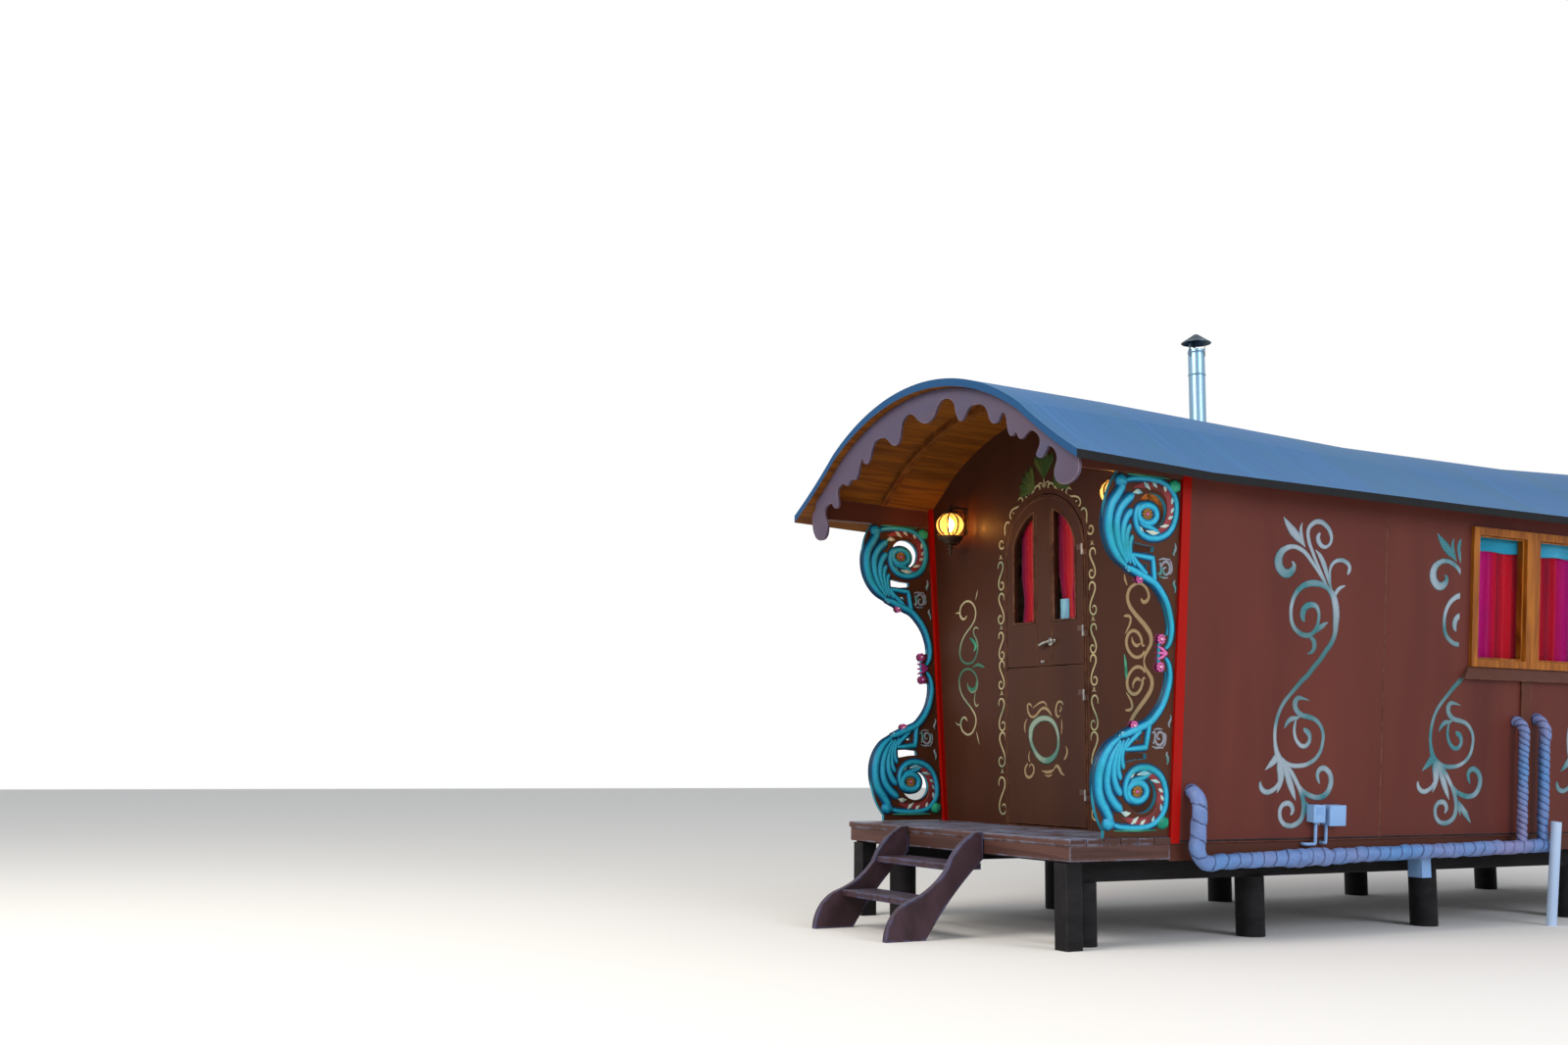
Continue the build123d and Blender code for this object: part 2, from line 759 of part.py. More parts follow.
def valance(place):
    """Scalloped board hung under the roof, with its back face at a place along the wagon."""
    with BuildPart() as board:
        with BuildSketch(across(place)):
            with Locations((0, crown_wall - valance_reach)):
                Rectangle(2 * (eaves_half - valance_inset), 2 * valance_reach)
        extrude(amount=valance_thickness)
        add(above_band, mode=Mode.INTERSECT)
        with BuildSketch(across(place)):
            for middle, lowest, half in valance_lobes:
                with Locations((middle, lowest + half)):
                    Circle(half)
                highest = crown_front - valance_band - (middle / knee_half) ** 2 * knee_drop
                with Locations((middle, (lowest + half + highest) / 2)):
                    Rectangle(2 * half, highest - lowest - half)
        extrude(amount=valance_thickness)
        add(above_soffit, mode=Mode.SUBTRACT)
    return board


with BuildPart() as valances:
    add(valance(valance_back).part)
    add(valance(cabin_length + rear_overhang - rear_valance_inset).part)
finish(valances, "valances")

# Plates that carry the roof over the porch, in the planes of the side walls. The brackets reach
# up to them, so the height of the carving follows from the line of the soffit over the wall.
slope_share = (eaves_half - half_width_high) / (eaves_half - knee_half)
slope_up = eaves_wall + slope_share * (crown_wall - knee_drop - eaves_wall)
bracket_top = slope_up - roof_thickness - plate_height

with BuildPart() as porch_plates:
    with BuildSketch(side_plane.offset(-2)):
        plate_run = -valance_back - seat - post_width / 2 - seat
        with Locations((-post_width / 2 - seat - plate_run / 2, (above_walls + bracket_top + seat) / 2)):
            Rectangle(plate_run, above_walls - bracket_top - seat)
    extrude(amount=-plate_width)
    add(above_soffit, mode=Mode.SUBTRACT)
    mirror(about=Plane.YZ)
finish(porch_plates, "porch_plates")

# Brackets of the porch, in the planes of the side walls. Local x runs along the wagon from the
# front wall, negative towards the steps, and local y runs up the slope from the deck.
# The tables draw the upper half for a bracket of the height bracket_drawn, and the carving is
# stretched upwards to the height it has. A stroke is its start, a point on the way, end and width.
bracket_drawn = 1895
bracket_strokes = (
    ((-415, 1868), (-525, 1638), (-384, 1403), 52),
    ((-345, 1793), (-470, 1600), (-385, 1420), 46),
    ((-353, 1703), (-426, 1575), (-378, 1420), 40),
    ((-366, 1631), (-396, 1530), (-360, 1415), 32),
    ((-347, 1568), (-378, 1500), (-327, 1412), 28),
    ((-392, 1846), (-230, 1876), (-104, 1840), 30),
    ((-104, 1840), (-52, 1735), (-94, 1604), 32),
    ((-94, 1604), (-200, 1543), (-306, 1582), 36),
    ((-306, 1582), (-330, 1615), (-338, 1660), 34),
    ((-367, 1398), (-267, 1368), (-189, 1328), 34),
    ((-189, 1328), (-95, 1222), (-62, 1100), 32),
    ((-62, 1100), (-66, 1040), (-96, 984), 28),
)
rosette = (-257, 1688, 83, 64)         # middle of the rosette, its half width and half height
scroll_hole = (-226, 1708, 100, 92)    # the crescent pierced round the rosette, as an ellipse
spur = ((-345, 1462), (-206, 1466), (-196, 1322))
spur_hole = ((-302, 1421), (-248, 1425), (-250, 1381))
bean_hole = ((-345, 1536), (-266, 1523), (-203, 1519), (-206, 1491), (-300, 1482), (-343, 1484))
balls = ((-444, 1850, 40), (-76, 1850, 40), (-293, 1346, 26))
flowers = ((-130, 1036, 28), (-118, 963, 28))


def flipped(point, half):
    """A point of the upper half of the carving, or its mirror image in the lower half."""
    up = point[1] if half > 0 else 2 * bracket_middle - point[1]
    return (point[0], up * bracket_top / bracket_drawn)


def crescent(half):
    """Cut the pierced crescent round the rosette."""
    with Locations(flipped(scroll_hole[:2], half)):
        Ellipse(*scroll_hole[2:], mode=Mode.SUBTRACT)
    with Locations(flipped(rosette[:2], half)):
        Ellipse(*rosette[2:])


def corners(points, half, mode):
    """Draw or cut a straight-sided shape of the carving."""
    with BuildLine() as outline:
        Polyline(*[flipped(corner, half) for corner in points], close=True)
    make_face(outline.edges(), mode=mode)


def bracket_carving(offset):
    """One carved face of the bracket, on the side plane moved outwards by offset."""
    with BuildPart() as carving:
        with BuildSketch(side_plane.offset(offset)):
            for half in (1, -1):
                for start, way, end, width in bracket_strokes:
                    with BuildLine() as stroke:
                        ThreePointArc(flipped(start, half), flipped(way, half), flipped(end, half))
                    trace(stroke.line, line_width=width)
                crescent(half)
                corners(spur, half, Mode.ADD)
                corners(spur_hole, half, Mode.SUBTRACT)
                for along, up, radius in balls:
                    with Locations(flipped((along, up), half)):
                        Circle(radius)
        extrude(amount=-relief_thickness)
    return carving


outer_face = 2
board_face = outer_face - relief_thickness - seat
inner_face = board_face - board_thickness - seat

with BuildPart() as bracket_scroll_right:
    add(bracket_carving(outer_face).part)
    add(bracket_carving(inner_face).part)
finish(bracket_scroll_right, "bracket_scroll_right")

# Sawn edge of the board, a little inside the carving: arcs from the top down to the neck.
board_edge = (
    ((-468, 1890), (-545, 1640), (-390, 1396)),
    ((-390, 1396), (-290, 1360), (-205, 1316)),
    ((-205, 1316), (-108, 1214), (-76, 1100)),
)
neck = ((-76, 1100), (-80, 1062), (-134, 1050))

with BuildPart() as bracket_board_right:
    with BuildSketch(side_plane.offset(board_face)):
        with BuildLine():
            edge = -post_width / 2 - seat
            for half in (1, -1):
                end = bracket_top if half > 0 else seat
                Line(flipped((edge, bracket_middle), half), (edge, end))
                Line((edge, end), (board_edge[0][0][0], end))
                Line((board_edge[0][0][0], end), flipped(board_edge[0][0], half))
                for start, way, stop in board_edge:
                    ThreePointArc(flipped(start, half), flipped(way, half), flipped(stop, half))
                Polyline(*[flipped(corner, half) for corner in neck + ((neck[-1][0], bracket_middle),)])
        make_face()
        for half in (1, -1):
            crescent(half)
            corners(spur_hole, half, Mode.SUBTRACT)
            corners(bean_hole, half, Mode.SUBTRACT)
    extrude(amount=-board_thickness)
finish(bracket_board_right, "bracket_board_right")

with BuildPart() as bracket_flowers:
    for offset, depth in ((board_face + seat, flower_depth), (inner_face, -flower_depth)):
        with BuildSketch(side_plane.offset(offset)):
            for along, up, radius in flowers:
                with Locations(flipped((along, up), 1), flipped((along, up), -1)):
                    Circle(radius)
        extrude(amount=depth)
    mirror(about=Plane.YZ)
finish(bracket_flowers, "bracket_flowers")


def mirrored(builder):
    """The same piece on the other side of the middle plane."""
    with BuildPart() as other:
        add(mirror(builder.part, about=Plane.YZ, mode=Mode.PRIVATE))
    return other


bracket_scroll_left = mirrored(bracket_scroll_right)
finish(bracket_scroll_left, "bracket_scroll_left")

bracket_board_left = mirrored(bracket_board_right)
finish(bracket_board_left, "bracket_board_left")

# Steps: two stringers with a scooped front edge, and two treads housed between them.
# The profile runs from the deck down the front edge to the toe, then up the back.
stringer_x = tread_length / 2 + seat


def flight(along, down):
    """A point of the stringer, in shares of the run of the steps and of the height of the deck."""
    run = steps_reach - porch_depth
    return (front_y - porch_depth - along * run, deck_height * (1 - down))


with BuildPart() as step_stringers:
    with BuildSketch(Plane.YZ.offset(steps_x + stringer_x)):
        with BuildLine():
            deck_edge = front_y - porch_depth - seat
            top = (deck_edge - stringer_flat, deck_height)
            toe = (front_y - steps_reach, 0)
            heel = flight(0.6, 1)
            back = (deck_edge, deck_height - fascia_bottom - stringer_drop)
            Line((deck_edge, deck_height), top)
            ThreePointArc(top, flight(0.243, 0.129), flight(0.376, 0.348))
            ThreePointArc(flight(0.376, 0.348), flight(0.528, 0.507), flight(0.744, 0.625))
            ThreePointArc(flight(0.744, 0.625), flight(0.934, 0.779), toe)
            Line(toe, heel)
            ThreePointArc(heel, flight(0.328, 0.607), back)
            Line(back, (deck_edge, deck_height))
        make_face()
    extrude(amount=stringer_thickness)
    mirror(about=Plane.YZ.offset(steps_x))
finish(step_stringers, "step_stringers")

with BuildPart() as step_treads:
    for along, down in tread_places:
        nose, top = flight(along, down)
        with BuildSketch(Plane.XY.offset(top)):
            with Locations((steps_x, nose + tread_depth / 2)):
                Rectangle(tread_length, tread_depth)
        extrude(amount=-tread_thickness)
        fillet(step_treads.edges(Select.LAST).filter_by(Axis.X).group_by(Axis.Y)[0], tread_round)
finish(step_treads, "step_treads")

# Flue: a pipe through the roof, a cone-shaped collar round its foot and a cap on three straps
with BuildPart() as flue_pipe:
    with BuildSketch(level(flue_bottom)):
        with Locations((flue_x, flue_behind)):
            Circle(flue_radius)
            Circle(flue_radius - flue_wall, mode=Mode.SUBTRACT)
    extrude(amount=flue_top - flue_bottom)
finish(flue_pipe, "flue_pipe")

flue_axis = Axis((flue_x, front_y + flue_behind, 0), (0, 0, 1))
flue_plane = Plane(origin=(flue_x, front_y + flue_behind, deck_height), x_dir=(1, 0, 0), z_dir=(0, -1, 0))
with BuildPart() as flue_collar:
    with BuildSketch(flue_plane):
        with BuildLine():
            inside = flue_radius + seat
            Polyline(
                (inside, collar_top),
                (inside, collar_top - collar_height),
                (collar_radius, collar_top - collar_height),
                (collar_radius, collar_top - collar_shoulder),
                (inside + collar_clear, collar_top - collar_shoulder + 8),
                (inside + collar_clear, collar_top),
                close=True,
            )
        make_face()
    revolve(axis=flue_axis)
    add(below_roof, mode=Mode.SUBTRACT)

with BuildPart() as flue_cap:
    with BuildSketch(flue_plane):
        with BuildLine():
            base = flue_top + cap_lift
            Polyline(
                (0, base + cap_height),
                (cap_crown, base + cap_height),
                (cap_radius, base + cap_edge),
                (cap_radius, base),
                (cap_radius - cap_edge, base),
                (cap_crown - 2, base + cap_height - cap_sheet),
                (0, base + cap_height - cap_sheet),
                close=True,
            )
        make_face()
    revolve(axis=flue_axis)
    with BuildSketch(level(flue_top - strap_foot)):
        with Locations((flue_x, flue_behind)):
            with PolarLocations(flue_radius + seat + strap_thickness / 2, 3, start_angle=30):
                Rectangle(strap_thickness, strap_width)
    extrude(amount=strap_foot + cap_lift + strap_head)

with BuildPart() as flue_fittings:
    add(flue_collar.part)
    add(flue_cap.part)
finish(flue_fittings, "flue_fittings")

# Lanterns on the front wall: an iron arm with a cap and a drop, and a ribbed glass globe
lantern_planes = [
    Plane(
        origin=(side * lantern_x, front_y + lantern_behind, deck_height + lantern_up),
        x_dir=(1, 0, 0),
        z_dir=(0, -1, 0),
    )
    for side in (-1, 1)
]
with BuildPart() as lantern_glass:
    for plane in lantern_planes:
        with BuildSketch(plane):
            with BuildLine():
                ThreePointArc((globe_mouth, globe_half), (globe_radius, 0), (globe_mouth, -globe_half))
                Line((globe_mouth, -globe_half), (globe_mouth - globe_wall, -globe_half))
                ThreePointArc(
                    (globe_mouth - globe_wall, -globe_half),
                    (globe_radius - globe_wall, 0),
                    (globe_mouth - globe_wall, globe_half),
                )
                Line((globe_mouth - globe_wall, globe_half), (globe_mouth, globe_half))
            make_face()
        revolve(axis=Axis(plane.origin, (0, 0, 1)))
finish(lantern_glass, "lantern_glass")


def turned(out, away, end=1):
    """A point of the turned ironwork above or below a globe, in shares of the globe's half height."""
    return (out * globe_half, end * (globe_half + seat + away * globe_half))


with BuildPart() as lantern_iron:
    for plane in lantern_planes:
        with BuildSketch(plane):
            with BuildLine():
                Polyline(turned(0, 0), turned(0.487, 0), turned(0.487, 0.077), turned(0.256, 0.231))
                ThreePointArc(turned(0.256, 0.231), turned(0.115, 0.308), turned(0.09, 0.513))
                Polyline(turned(0.09, 0.513), turned(0, 0.59), turned(0, 0))
            make_face()
            with BuildLine():
                Polyline(turned(0, 0, -1), turned(0.462, 0, -1), turned(0.462, 0.077, -1))
                ThreePointArc(turned(0.462, 0.077, -1), turned(0.231, 0.333, -1), turned(0.077, 0.718, -1))
                ThreePointArc(turned(0.077, 0.718, -1), turned(0.154, 0.872, -1), turned(0.077, 1.026, -1))
                Polyline(turned(0.077, 1.026, -1), turned(0, 1.487, -1), turned(0, 0, -1))
            make_face()
        revolve(axis=Axis(plane.origin, (0, 0, 1)))
    for side in (-1, 1):
        arm_up = lantern_up + globe_half + arm_rise
        with BuildSketch(across(-seat)):
            with Locations((side * lantern_x, arm_up)):
                Circle(arm_radius)
        extrude(amount=-lantern_behind - seat)
        with BuildSketch(across(-seat)):
            with Locations((side * lantern_x, arm_up - back_plate[1] / 6)):
                Rectangle(back_plate[0], back_plate[1])
        extrude(amount=back_plate[2])
finish(lantern_iron, "lantern_iron")

# Services on the +X side. A route is a list of points on the side wall: behind, up and out.


def route(points, radius):
    """A pipe's centre line through points on the side plane, with rounded corners."""
    corners = [side_plane.from_local_coords(point) for point in points]
    with BuildLine() as line:
        start = corners[0]
        for before, corner, after in zip(corners, corners[1:], corners[2:]):
            arrive = (corner - before).normalized()
            leave = (after - corner).normalized()
            half_turn = radians(arrive.get_angle(leave)) / 2
            inward = (leave - arrive).normalized()
            entry = corner - arrive * radius * tan(half_turn)
            way = corner + inward * radius * (1 / cos(half_turn) - 1)
            parting = corner + leave * radius * tan(half_turn)
            Line(start, entry)
            ThreePointArc(entry, way, parting)
            start = parting
        Line(start, corners[-1])
    return line.line


def pipe(line, radius):
    """A round solid along a centre line."""
    with BuildPart() as tube:
        with BuildSketch(Plane(origin=line @ 0, z_dir=line % 0)):
            Circle(radius)
        sweep(path=line)
    return tube.part


pipe_slope = (pipe_end_up - pipe_start_up) / (pipe_end - pipe_start)

with BuildPart() as lagged_pipes:
    main_line = route(
        (
            (pipe_start, pipe_drop_top, seat),
            (pipe_start, pipe_drop_top, pipe_stand),
            (pipe_start, pipe_start_up, pipe_stand),
            (pipe_end, pipe_end_up, pipe_stand),
        ),
        pipe_radius + bend,
    )
    add(pipe(main_line, pipe_radius))
    for behind, top, radius in risers:
        foot = pipe_start_up + (behind + radius - pipe_start) * pipe_slope + pipe_radius + seat
        riser_line = route(
            ((behind, foot, pipe_stand), (behind, top, pipe_stand), (behind, top, seat)),
            radius + bend,
        )
        add(pipe(riser_line, radius))
finish(lagged_pipes, "lagged_pipes")

waste_stand = pipe_stand + pipe_radius + seat + waste_radius
with BuildPart() as waste_pipe:
    waste_end = side_plane.from_local_coords((waste_top, waste_top_up, waste_stand))
    waste_start = side_plane.from_local_coords((waste_foot, -deck_height, waste_stand))
    with BuildSketch(Plane(origin=waste_end, z_dir=waste_start - waste_end)):
        Circle(waste_radius)
    extrude(amount=deck_height + 2 * waste_top_up)
    with BuildSketch(Plane(origin=waste_end, z_dir=waste_start - waste_end)):
        Circle(waste_radius - waste_wall)
    extrude(amount=waste_socket, mode=Mode.SUBTRACT)
    split(bisect_by=Plane.XY, keep=Keep.TOP)
finish(waste_pipe, "waste_pipe")

with BuildPart() as service_boxes:
    for behind, bottom, top, width, depth in boxes:
        with BuildSketch(side_plane.offset(seat)):
            with Locations((behind, (bottom + top) / 2)):
                Rectangle(width, top - bottom)
        extrude(amount=depth)
    for (behind, bottom, top, width, depth), (start, end, foot) in zip(boxes, conduits):
        drop = route(
            (
                (start, bottom + conduit_seat, conduit_stand),
                (start, foot, conduit_stand),
                (end, foot, conduit_stand),
                (end, foot, skirt_half - half_at(foot - conduit_radius) + 2 * seat),
            ),
            conduit_radius + conduit_bend,
        )
        add(pipe(drop, conduit_radius))
    with BuildSketch(level(-wall_drop - seat - skirt_height - seat)):
        with Locations((skirt_half - trap_run / 2, trap_behind)):
            Rectangle(trap_run, trap_width)
    extrude(amount=-(wall_drop + skirt_height + 2 * seat) - trap_bottom, dir=(0, 0, -1))
finish(service_boxes, "service_boxes")
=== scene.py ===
# %% [markdown]
# # A painted living wagon
#
# The wagon is a little house with a bowed roof, set down for good on timber posts. Its solids come
# from a CAD model. Here each of them gets its finish, and what a plain solid can't show, such as
# carving, painted scrolls, pleated cloth and glass, is modelled over it.

# %% Load the solids
from contextlib import contextmanager
from math import atan2, cos, pi, radians, sin, sqrt

import bpy
from mathutils import Matrix, Vector, noise


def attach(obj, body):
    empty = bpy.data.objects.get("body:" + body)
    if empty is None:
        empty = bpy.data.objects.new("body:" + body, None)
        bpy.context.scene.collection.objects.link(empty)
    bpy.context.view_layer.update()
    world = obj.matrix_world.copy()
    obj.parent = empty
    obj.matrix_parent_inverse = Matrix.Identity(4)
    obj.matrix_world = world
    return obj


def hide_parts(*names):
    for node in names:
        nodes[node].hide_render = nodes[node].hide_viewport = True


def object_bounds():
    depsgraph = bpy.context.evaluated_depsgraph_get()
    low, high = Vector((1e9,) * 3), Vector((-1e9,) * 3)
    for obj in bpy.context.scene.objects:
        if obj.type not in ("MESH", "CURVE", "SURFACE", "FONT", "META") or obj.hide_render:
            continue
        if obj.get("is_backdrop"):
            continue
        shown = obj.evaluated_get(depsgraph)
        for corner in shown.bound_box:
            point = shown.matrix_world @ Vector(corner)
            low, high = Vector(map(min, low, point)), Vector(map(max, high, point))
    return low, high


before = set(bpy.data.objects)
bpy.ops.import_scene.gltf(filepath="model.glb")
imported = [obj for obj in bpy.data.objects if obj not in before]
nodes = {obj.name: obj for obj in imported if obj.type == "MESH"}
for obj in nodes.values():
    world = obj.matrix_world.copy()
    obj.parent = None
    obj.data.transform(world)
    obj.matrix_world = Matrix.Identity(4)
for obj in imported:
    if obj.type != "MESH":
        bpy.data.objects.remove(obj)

cad_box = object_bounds()
print("solids:", len(nodes), "size:", [round(side, 3) for side in cad_box[1] - cad_box[0]])

# %% [markdown]
# ## Where the pieces go
#
# Almost everything on the wagon lies on a wall, so it is easiest to draw it flat and then stand the
# drawing up. A wall's place is a matrix: x runs along the wall, y up it and z out of it. The side
# walls lean out towards the eaves, and the left one is the mirror image of the right one.

# %% The walls as places
FRONT = -2.2875
DECK = 0.56
HALF_WIDTH = 1.073
LENGTH = 5.6
LEAN = atan2(0.157, 1.9)


def place_from(along, up, out, origin):
    """A matrix with the given directions as its columns."""
    matrix = Matrix.Identity(4)
    for column, direction in enumerate((along, up, out, origin)):
        matrix.col[column][:3] = direction
    return matrix


def side_wall(hand):
    """Place on a side wall, from the front wall at deck height. hand is 1 for +X and -1 for -X."""
    up = (hand * sin(LEAN), 0, cos(LEAN))
    out = (hand * cos(LEAN), 0, -sin(LEAN))
    return place_from((0, 1, 0), up, out, (hand * HALF_WIDTH, FRONT, DECK))


FRONT_WALL = place_from((1, 0, 0), (0, 0, 1), (0, -1, 0), (0, FRONT, DECK))
REAR_WALL = place_from((-1, 0, 0), (0, 0, 1), (0, 1, 0), (0, FRONT + LENGTH, DECK))
SIDES = ((1, "right"), (-1, "left"))
print("lean of the side walls:", round(LEAN * 180 / pi, 2), "degrees")

# %% [markdown]
# ## The camera
#
# The camera stands low in front of the right corner and looks up a little. Its place, its turn and
# its lens were found from the edges of the wagon whose directions are known.

# %% The camera
bpy.ops.object.camera_add()
camera = bpy.context.object
camera.name = "view_camera"
camera.data.sensor_width = 36
camera.data.lens = 37.8
camera.data.clip_end = 200
camera.matrix_world = (
    Matrix.Translation((7.776, -8.3665, 0.998))
    @ Matrix.Rotation(radians(61.053), 4, "Z")
    @ Matrix.Rotation(radians(90 + 7.833), 4, "X")
    @ Matrix.Rotation(radians(0.63), 4, "Z")
)
bpy.context.scene.camera = camera
PICTURE = (1600, 1066)
FOCAL = camera.data.lens / camera.data.sensor_width * PICTURE[0]


def sighted(place, across, down):
    """Where the line of sight through a picture point meets a wall, in millimetres on that wall."""
    turn = camera.matrix_world.to_3x3()
    ray = turn @ Vector(((across - PICTURE[0] / 2) / FOCAL, (PICTURE[1] / 2 - down) / FOCAL, -1))
    back = place.inverted()
    start = back @ camera.matrix_world.translation
    ray = back.to_3x3() @ ray
    hit = start - ray * (start.z / ray.z)
    return hit.x * 1000, hit.y * 1000


print("camera height:", round(camera.matrix_world.translation.z, 3))

# %% [markdown]
# ## The floor and the light
#
# The finish is judged under plain soft light, as in a studio: one large lamp from the left front,
# a weaker one from the right and a pale world all round. The camera, and what is mirrored in metal
# and glass, see the world as white, so the background is bright without lighting the wagon more.

# %% Helpers for objects, nodes and colours
def deselect():
    """Leave edit mode and select nothing."""
    if bpy.context.object and bpy.context.object.mode != "OBJECT":
        bpy.ops.object.mode_set(mode="OBJECT")
    bpy.ops.object.select_all(action="DESELECT")


def fill_in(tree, made, **settings):
    """Set a node. A setting is a property of the node, a value for the socket of that name, or the
    output of another node, which is then linked to that socket."""
    for name, value in settings.items():
        socket = name.replace("_", " ")
        if isinstance(value, bpy.types.NodeSocket):
            tree.links.new(value, made.inputs[socket])
        elif hasattr(made, name):
            setattr(made, name, value)
        else:
            made.inputs[socket].default_value = value
    return made


def node(tree, kind, **settings):
    """Add a node and set it."""
    return fill_in(tree, tree.nodes.new("ShaderNode" + kind), **settings)


def reckoned(tree, operation, *values, kind="Math"):
    """What a sum gives. Its values are numbers or the outputs of other nodes."""
    made = node(tree, kind, operation=operation)
    for socket, value in zip(made.inputs, values):
        if isinstance(value, bpy.types.NodeSocket):
            tree.links.new(value, socket)
        else:
            socket.default_value = value
    return made.outputs["Value"]


def new_material(name, mirror=0.5):
    """A material, its node tree and its Principled shader. mirror is how much bare gloss it has."""
    material = bpy.data.materials.new(name)
    material.use_nodes = True
    tree = material.node_tree
    return material, tree, fill_in(tree, tree.nodes["Principled BSDF"], Specular_IOR_Level=mirror)


def colour(code):
    """A colour from its six-digit code, as the linear values that the nodes work with."""
    parts = [int(code[i : i + 2], 16) / 255 for i in (0, 2, 4)]
    return [c / 12.92 if c <= 0.04045 else ((c + 0.055) / 1.055) ** 2.4 for c in parts] + [1]


# %% Floor
deselect()
bpy.ops.mesh.primitive_plane_add(size=60)
floor = bpy.context.object
floor.name = "floor"
floor_material, tree, shader = new_material("floor")
fill_in(tree, shader, Base_Color=colour("eeedea"), Roughness=0.9)
floor.data.materials.append(floor_material)
floor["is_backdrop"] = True
print("floor:", [round(side, 1) for side in floor.dimensions])

# %% Lamps and world
def soft_lamp(name, place, aim, size, watts, tint):
    """A large square lamp that looks at a point."""
    bpy.ops.object.light_add(type="AREA", location=place)
    lamp = bpy.context.object
    lamp.name = name
    lamp.rotation_mode = "QUATERNION"
    lamp.rotation_quaternion = (Vector(aim) - Vector(place)).to_track_quat("-Z", "Y")
    lamp.data.size = size
    lamp.data.energy = watts
    lamp.data.color = colour(tint)[:3]


soft_lamp("key_lamp", (1.5, -12.5, 8.5), (0.3, -1.5, 1.4), 6, 1150, "fff6ea")
soft_lamp("side_lamp", (12, 0.5, 5.5), (0.8, 0, 1.2), 6, 650, "eef3ff")

world = bpy.data.worlds.new("studio")
bpy.context.scene.world = world
world.use_nodes = True
sky = world.node_tree
pale_sky = fill_in(sky, sky.nodes["Background"], Color=(0.93, 0.96, 1, 1), Strength=0.55)
white_sky = node(sky, "Background", Color=(1, 1, 1, 1), Strength=1.0)
path = node(sky, "LightPath").outputs
mirrored = reckoned(sky, "MAXIMUM", path["Is Camera Ray"], path["Is Glossy Ray"])
mirrored = reckoned(sky, "MAXIMUM", mirrored, path["Is Transmission Ray"])
mix = node(sky, "MixShader")
for socket, source in zip(mix.inputs, (mirrored, pale_sky.outputs[0], white_sky.outputs[0])):
    sky.links.new(source, socket)
fill_in(sky, sky.nodes["World Output"], Surface=mix.outputs[0])
bpy.context.scene.view_settings.view_transform = "Standard"

# %% [markdown]
# ## Effects that the finishes share
#
# Timber shows grain, paint shows the marks of the brush, corners are rubbed bare, and dust settles
# on what faces up. Each effect is built once as a node group with named inputs and outputs, and
# each finish then uses the groups with its own numbers. A group gives only masks and heights: the
# shader itself stays in the material.

# %% Helpers for node groups
def new_group(name, inputs, outputs):
    """A node group with number inputs (name: default) and outputs. Returns it, what its start node
    puts out, and its end node."""
    group = bpy.data.node_groups.new(name, "ShaderNodeTree")
    group.interface.new_socket("Vector", in_out="INPUT", socket_type="NodeSocketVector")
    for title, value in inputs.items():
        socket = group.interface.new_socket(title, in_out="INPUT", socket_type="NodeSocketFloat")
        socket.default_value = value
    for title in outputs:
        group.interface.new_socket(title, in_out="OUTPUT", socket_type="NodeSocketFloat")
    return group, group.nodes.new("NodeGroupInput").outputs, group.nodes.new("NodeGroupOutput")


def use_group(tree, group, vector, **values):
    """Place a group in a material, with its vector and its values. Returns what it puts out."""
    placed = tree.nodes.new("ShaderNodeGroup")
    placed.node_tree = group
    return fill_in(tree, placed, Vector=vector, **values).outputs


def noisy(tree, **settings):
    """A cloudy pattern of values from 0 to 1."""
    return node(tree, "TexNoise", **settings).outputs[0]


def mapped(tree, value, **settings):
    """A value, moved from one range to another."""
    return node(tree, "MapRange", Value=value, **settings).outputs[0]


def looks(tree, axis, normal="True Normal"):
    """How far a face looks along an axis, from -1 to 1."""
    geometry = node(tree, "NewGeometry")
    return node(tree, "SeparateXYZ", Vector=geometry.outputs[normal]).outputs[axis]


# %% Timber grain and brush marks
timber_grain, given, result = new_group("timber grain", {"Rings": 7.0}, ("Grain", "Pores"))
wander = noisy(
    timber_grain, Detail=3.0, Distortion=0.4, Vector=given["Vector"], Scale=given["Rings"])
bands = reckoned(timber_grain, "MULTIPLY", wander, 9)
pores = noisy(timber_grain, Scale=60.0, Detail=2.0, Vector=given["Vector"])
fill_in(timber_grain, result, Grain=reckoned(timber_grain, "PINGPONG", bands, 1), Pores=pores)

brush_marks, given, result = new_group("brush marks", {"Fineness": 40.0}, ("Marks", "Patches"))
marks = noisy(
    brush_marks, Detail=4.0, Roughness=0.6, Vector=given["Vector"], Scale=given["Fineness"])
patches = noisy(brush_marks, Scale=1.7, Detail=3.0, Distortion=0.5, Vector=given["Vector"])
fill_in(brush_marks, result, Marks=marks, Patches=patches)

# %% Rubbed corners
rubbed, given, result = new_group("rubbed corners", {"Width": 0.006, "Breakup": 12.0}, ("Rub",))
soft = node(rubbed, "Bevel", samples=4, Radius=given["Width"]).outputs[0]
flat = node(rubbed, "NewGeometry").outputs["True Normal"]
match = reckoned(rubbed, "DOT_PRODUCT", soft, flat, kind="VectorMath")
corner = mapped(rubbed, match, From_Min=0.995, From_Max=0.9)
chips = noisy(rubbed, Detail=5.0, Roughness=0.7, Vector=given["Vector"], Scale=given["Breakup"])
gaps = mapped(rubbed, chips, From_Min=0.42, From_Max=0.58)
fill_in(rubbed, result, Rub=reckoned(rubbed, "MULTIPLY", corner, gaps))

